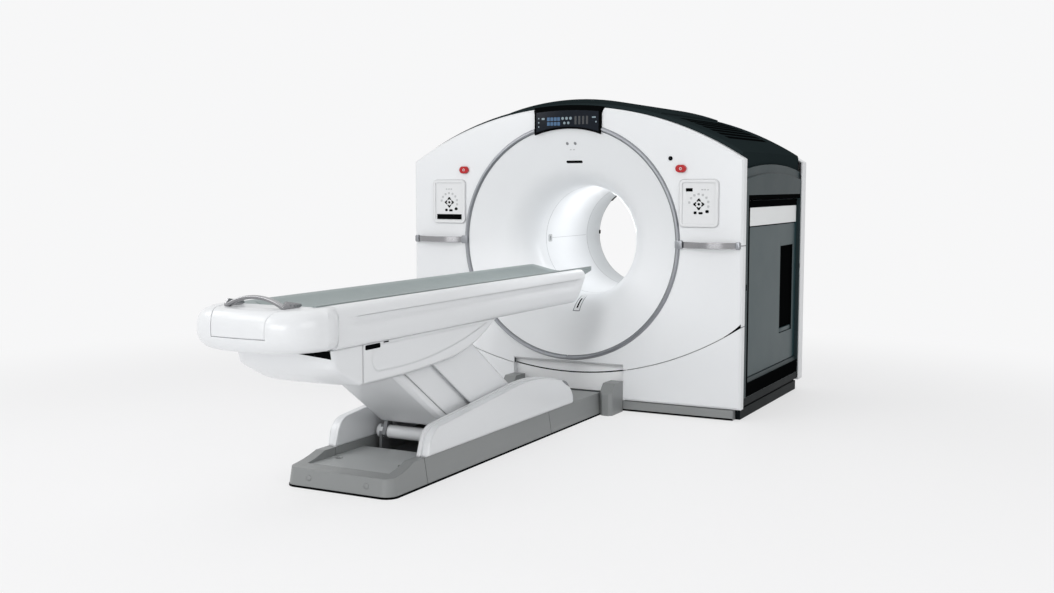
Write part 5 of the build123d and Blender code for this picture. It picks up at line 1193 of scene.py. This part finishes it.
world = bpy.data.worlds.new("studio")
bpy.context.scene.world = world
world.use_nodes = True
tree = world.node_tree
lighting = tree.nodes["Background"]
set_inputs(lighting, {"Color": BACKGROUND, "Strength": SURROUND_LIGHT})
shown = tree.nodes.new("ShaderNodeBackground")
shown.inputs["Color"].default_value = BACKGROUND
mixed(tree, seen_rays(tree), lighting.outputs["Background"], shown.outputs["Background"], "World Output")

bpy.ops.mesh.primitive_plane_add(size=2 * FLOOR_HALF)
floor = bpy.context.object
floor.name = "studio_floor"
floor_material, tree, shader = new_material("studio_floor")
set_inputs(shader, {"Base Color": BACKGROUND, "Roughness": FLOOR_ROUGHNESS})
glow = tree.nodes.new("ShaderNodeEmission")
glow.inputs["Color"].default_value = BACKGROUND
place = tree.nodes.new("ShaderNodeTexCoord")
distance = tree.nodes.new("ShaderNodeVectorMath")
distance.operation = "LENGTH"
tree.links.new(place.outputs["Object"], distance.inputs[0])
fade = tree.nodes.new("ShaderNodeMapRange")
fade.interpolation_type = "SMOOTHSTEP"
set_inputs(fade, {"From Min": FLOOR_NEAR, "From Max": FLOOR_FAR, "To Min": FLOOR_GLOW_NEAR,
                  "To Max": FLOOR_GLOW_FAR})
tree.links.new(distance.outputs["Value"], fade.inputs["Value"])
share = math_node(tree, "MULTIPLY", seen_rays(tree), fade.outputs["Result"])
mixed(tree, share, shader.outputs["BSDF"], glow.outputs["Emission"], "Material Output")
floor.data.materials.append(floor_material)


def lamp(name, kind, place, power):
    """Studio lamp of a kind at a place."""
    data = bpy.data.lights.new(name, kind)
    data.energy = power
    holder = bpy.data.objects.new(name, data)
    holder.location = place
    bpy.context.collection.objects.link(holder)
    return holder


for name, (place, turn, size, power) in LAMPS.items():
    soft_lamp = lamp(name, "AREA", place, power)
    soft_lamp.data.shape = "RECTANGLE"
    soft_lamp.data.size, soft_lamp.data.size_y = size
    soft_lamp.rotation_euler = [radians(angle) for angle in turn]
bore_lamp = lamp("bore_lamp", "POINT", (0, (BORE_LOW.y + BORE_HIGH.y) / 2, AXIS_Z + BORE_RAISE), BORE_POWER)
bore_lamp.data.shadow_soft_size = BORE_SOFTNESS
bore_lamp.visible_camera = False
bowl_lamp = lamp("bowl_lamp", "SPOT", BOWL_PLACE, BOWL_POWER)
bowl_lamp.data.spot_size = radians(BOWL_CONE)
bowl_lamp.data.spot_blend = 1
bowl_lamp.data.shadow_soft_size = BOWL_SOFTNESS
bowl_lamp.rotation_euler = (Vector(BOWL_AIM) - Vector(BOWL_PLACE)).to_track_quat("-Z", "Y").to_euler()

camera_data = bpy.data.cameras.new("photo_camera")
camera_data.lens = CAMERA_LENS
camera_data.sensor_width = CAMERA_SENSOR
camera = bpy.data.objects.new("photo_camera", camera_data)
camera.location = CAMERA_PLACE
camera.rotation_euler = CAMERA_TURN
bpy.context.collection.objects.link(camera)
bpy.context.scene.camera = camera
bpy.context.scene.view_settings.view_transform = "Standard"
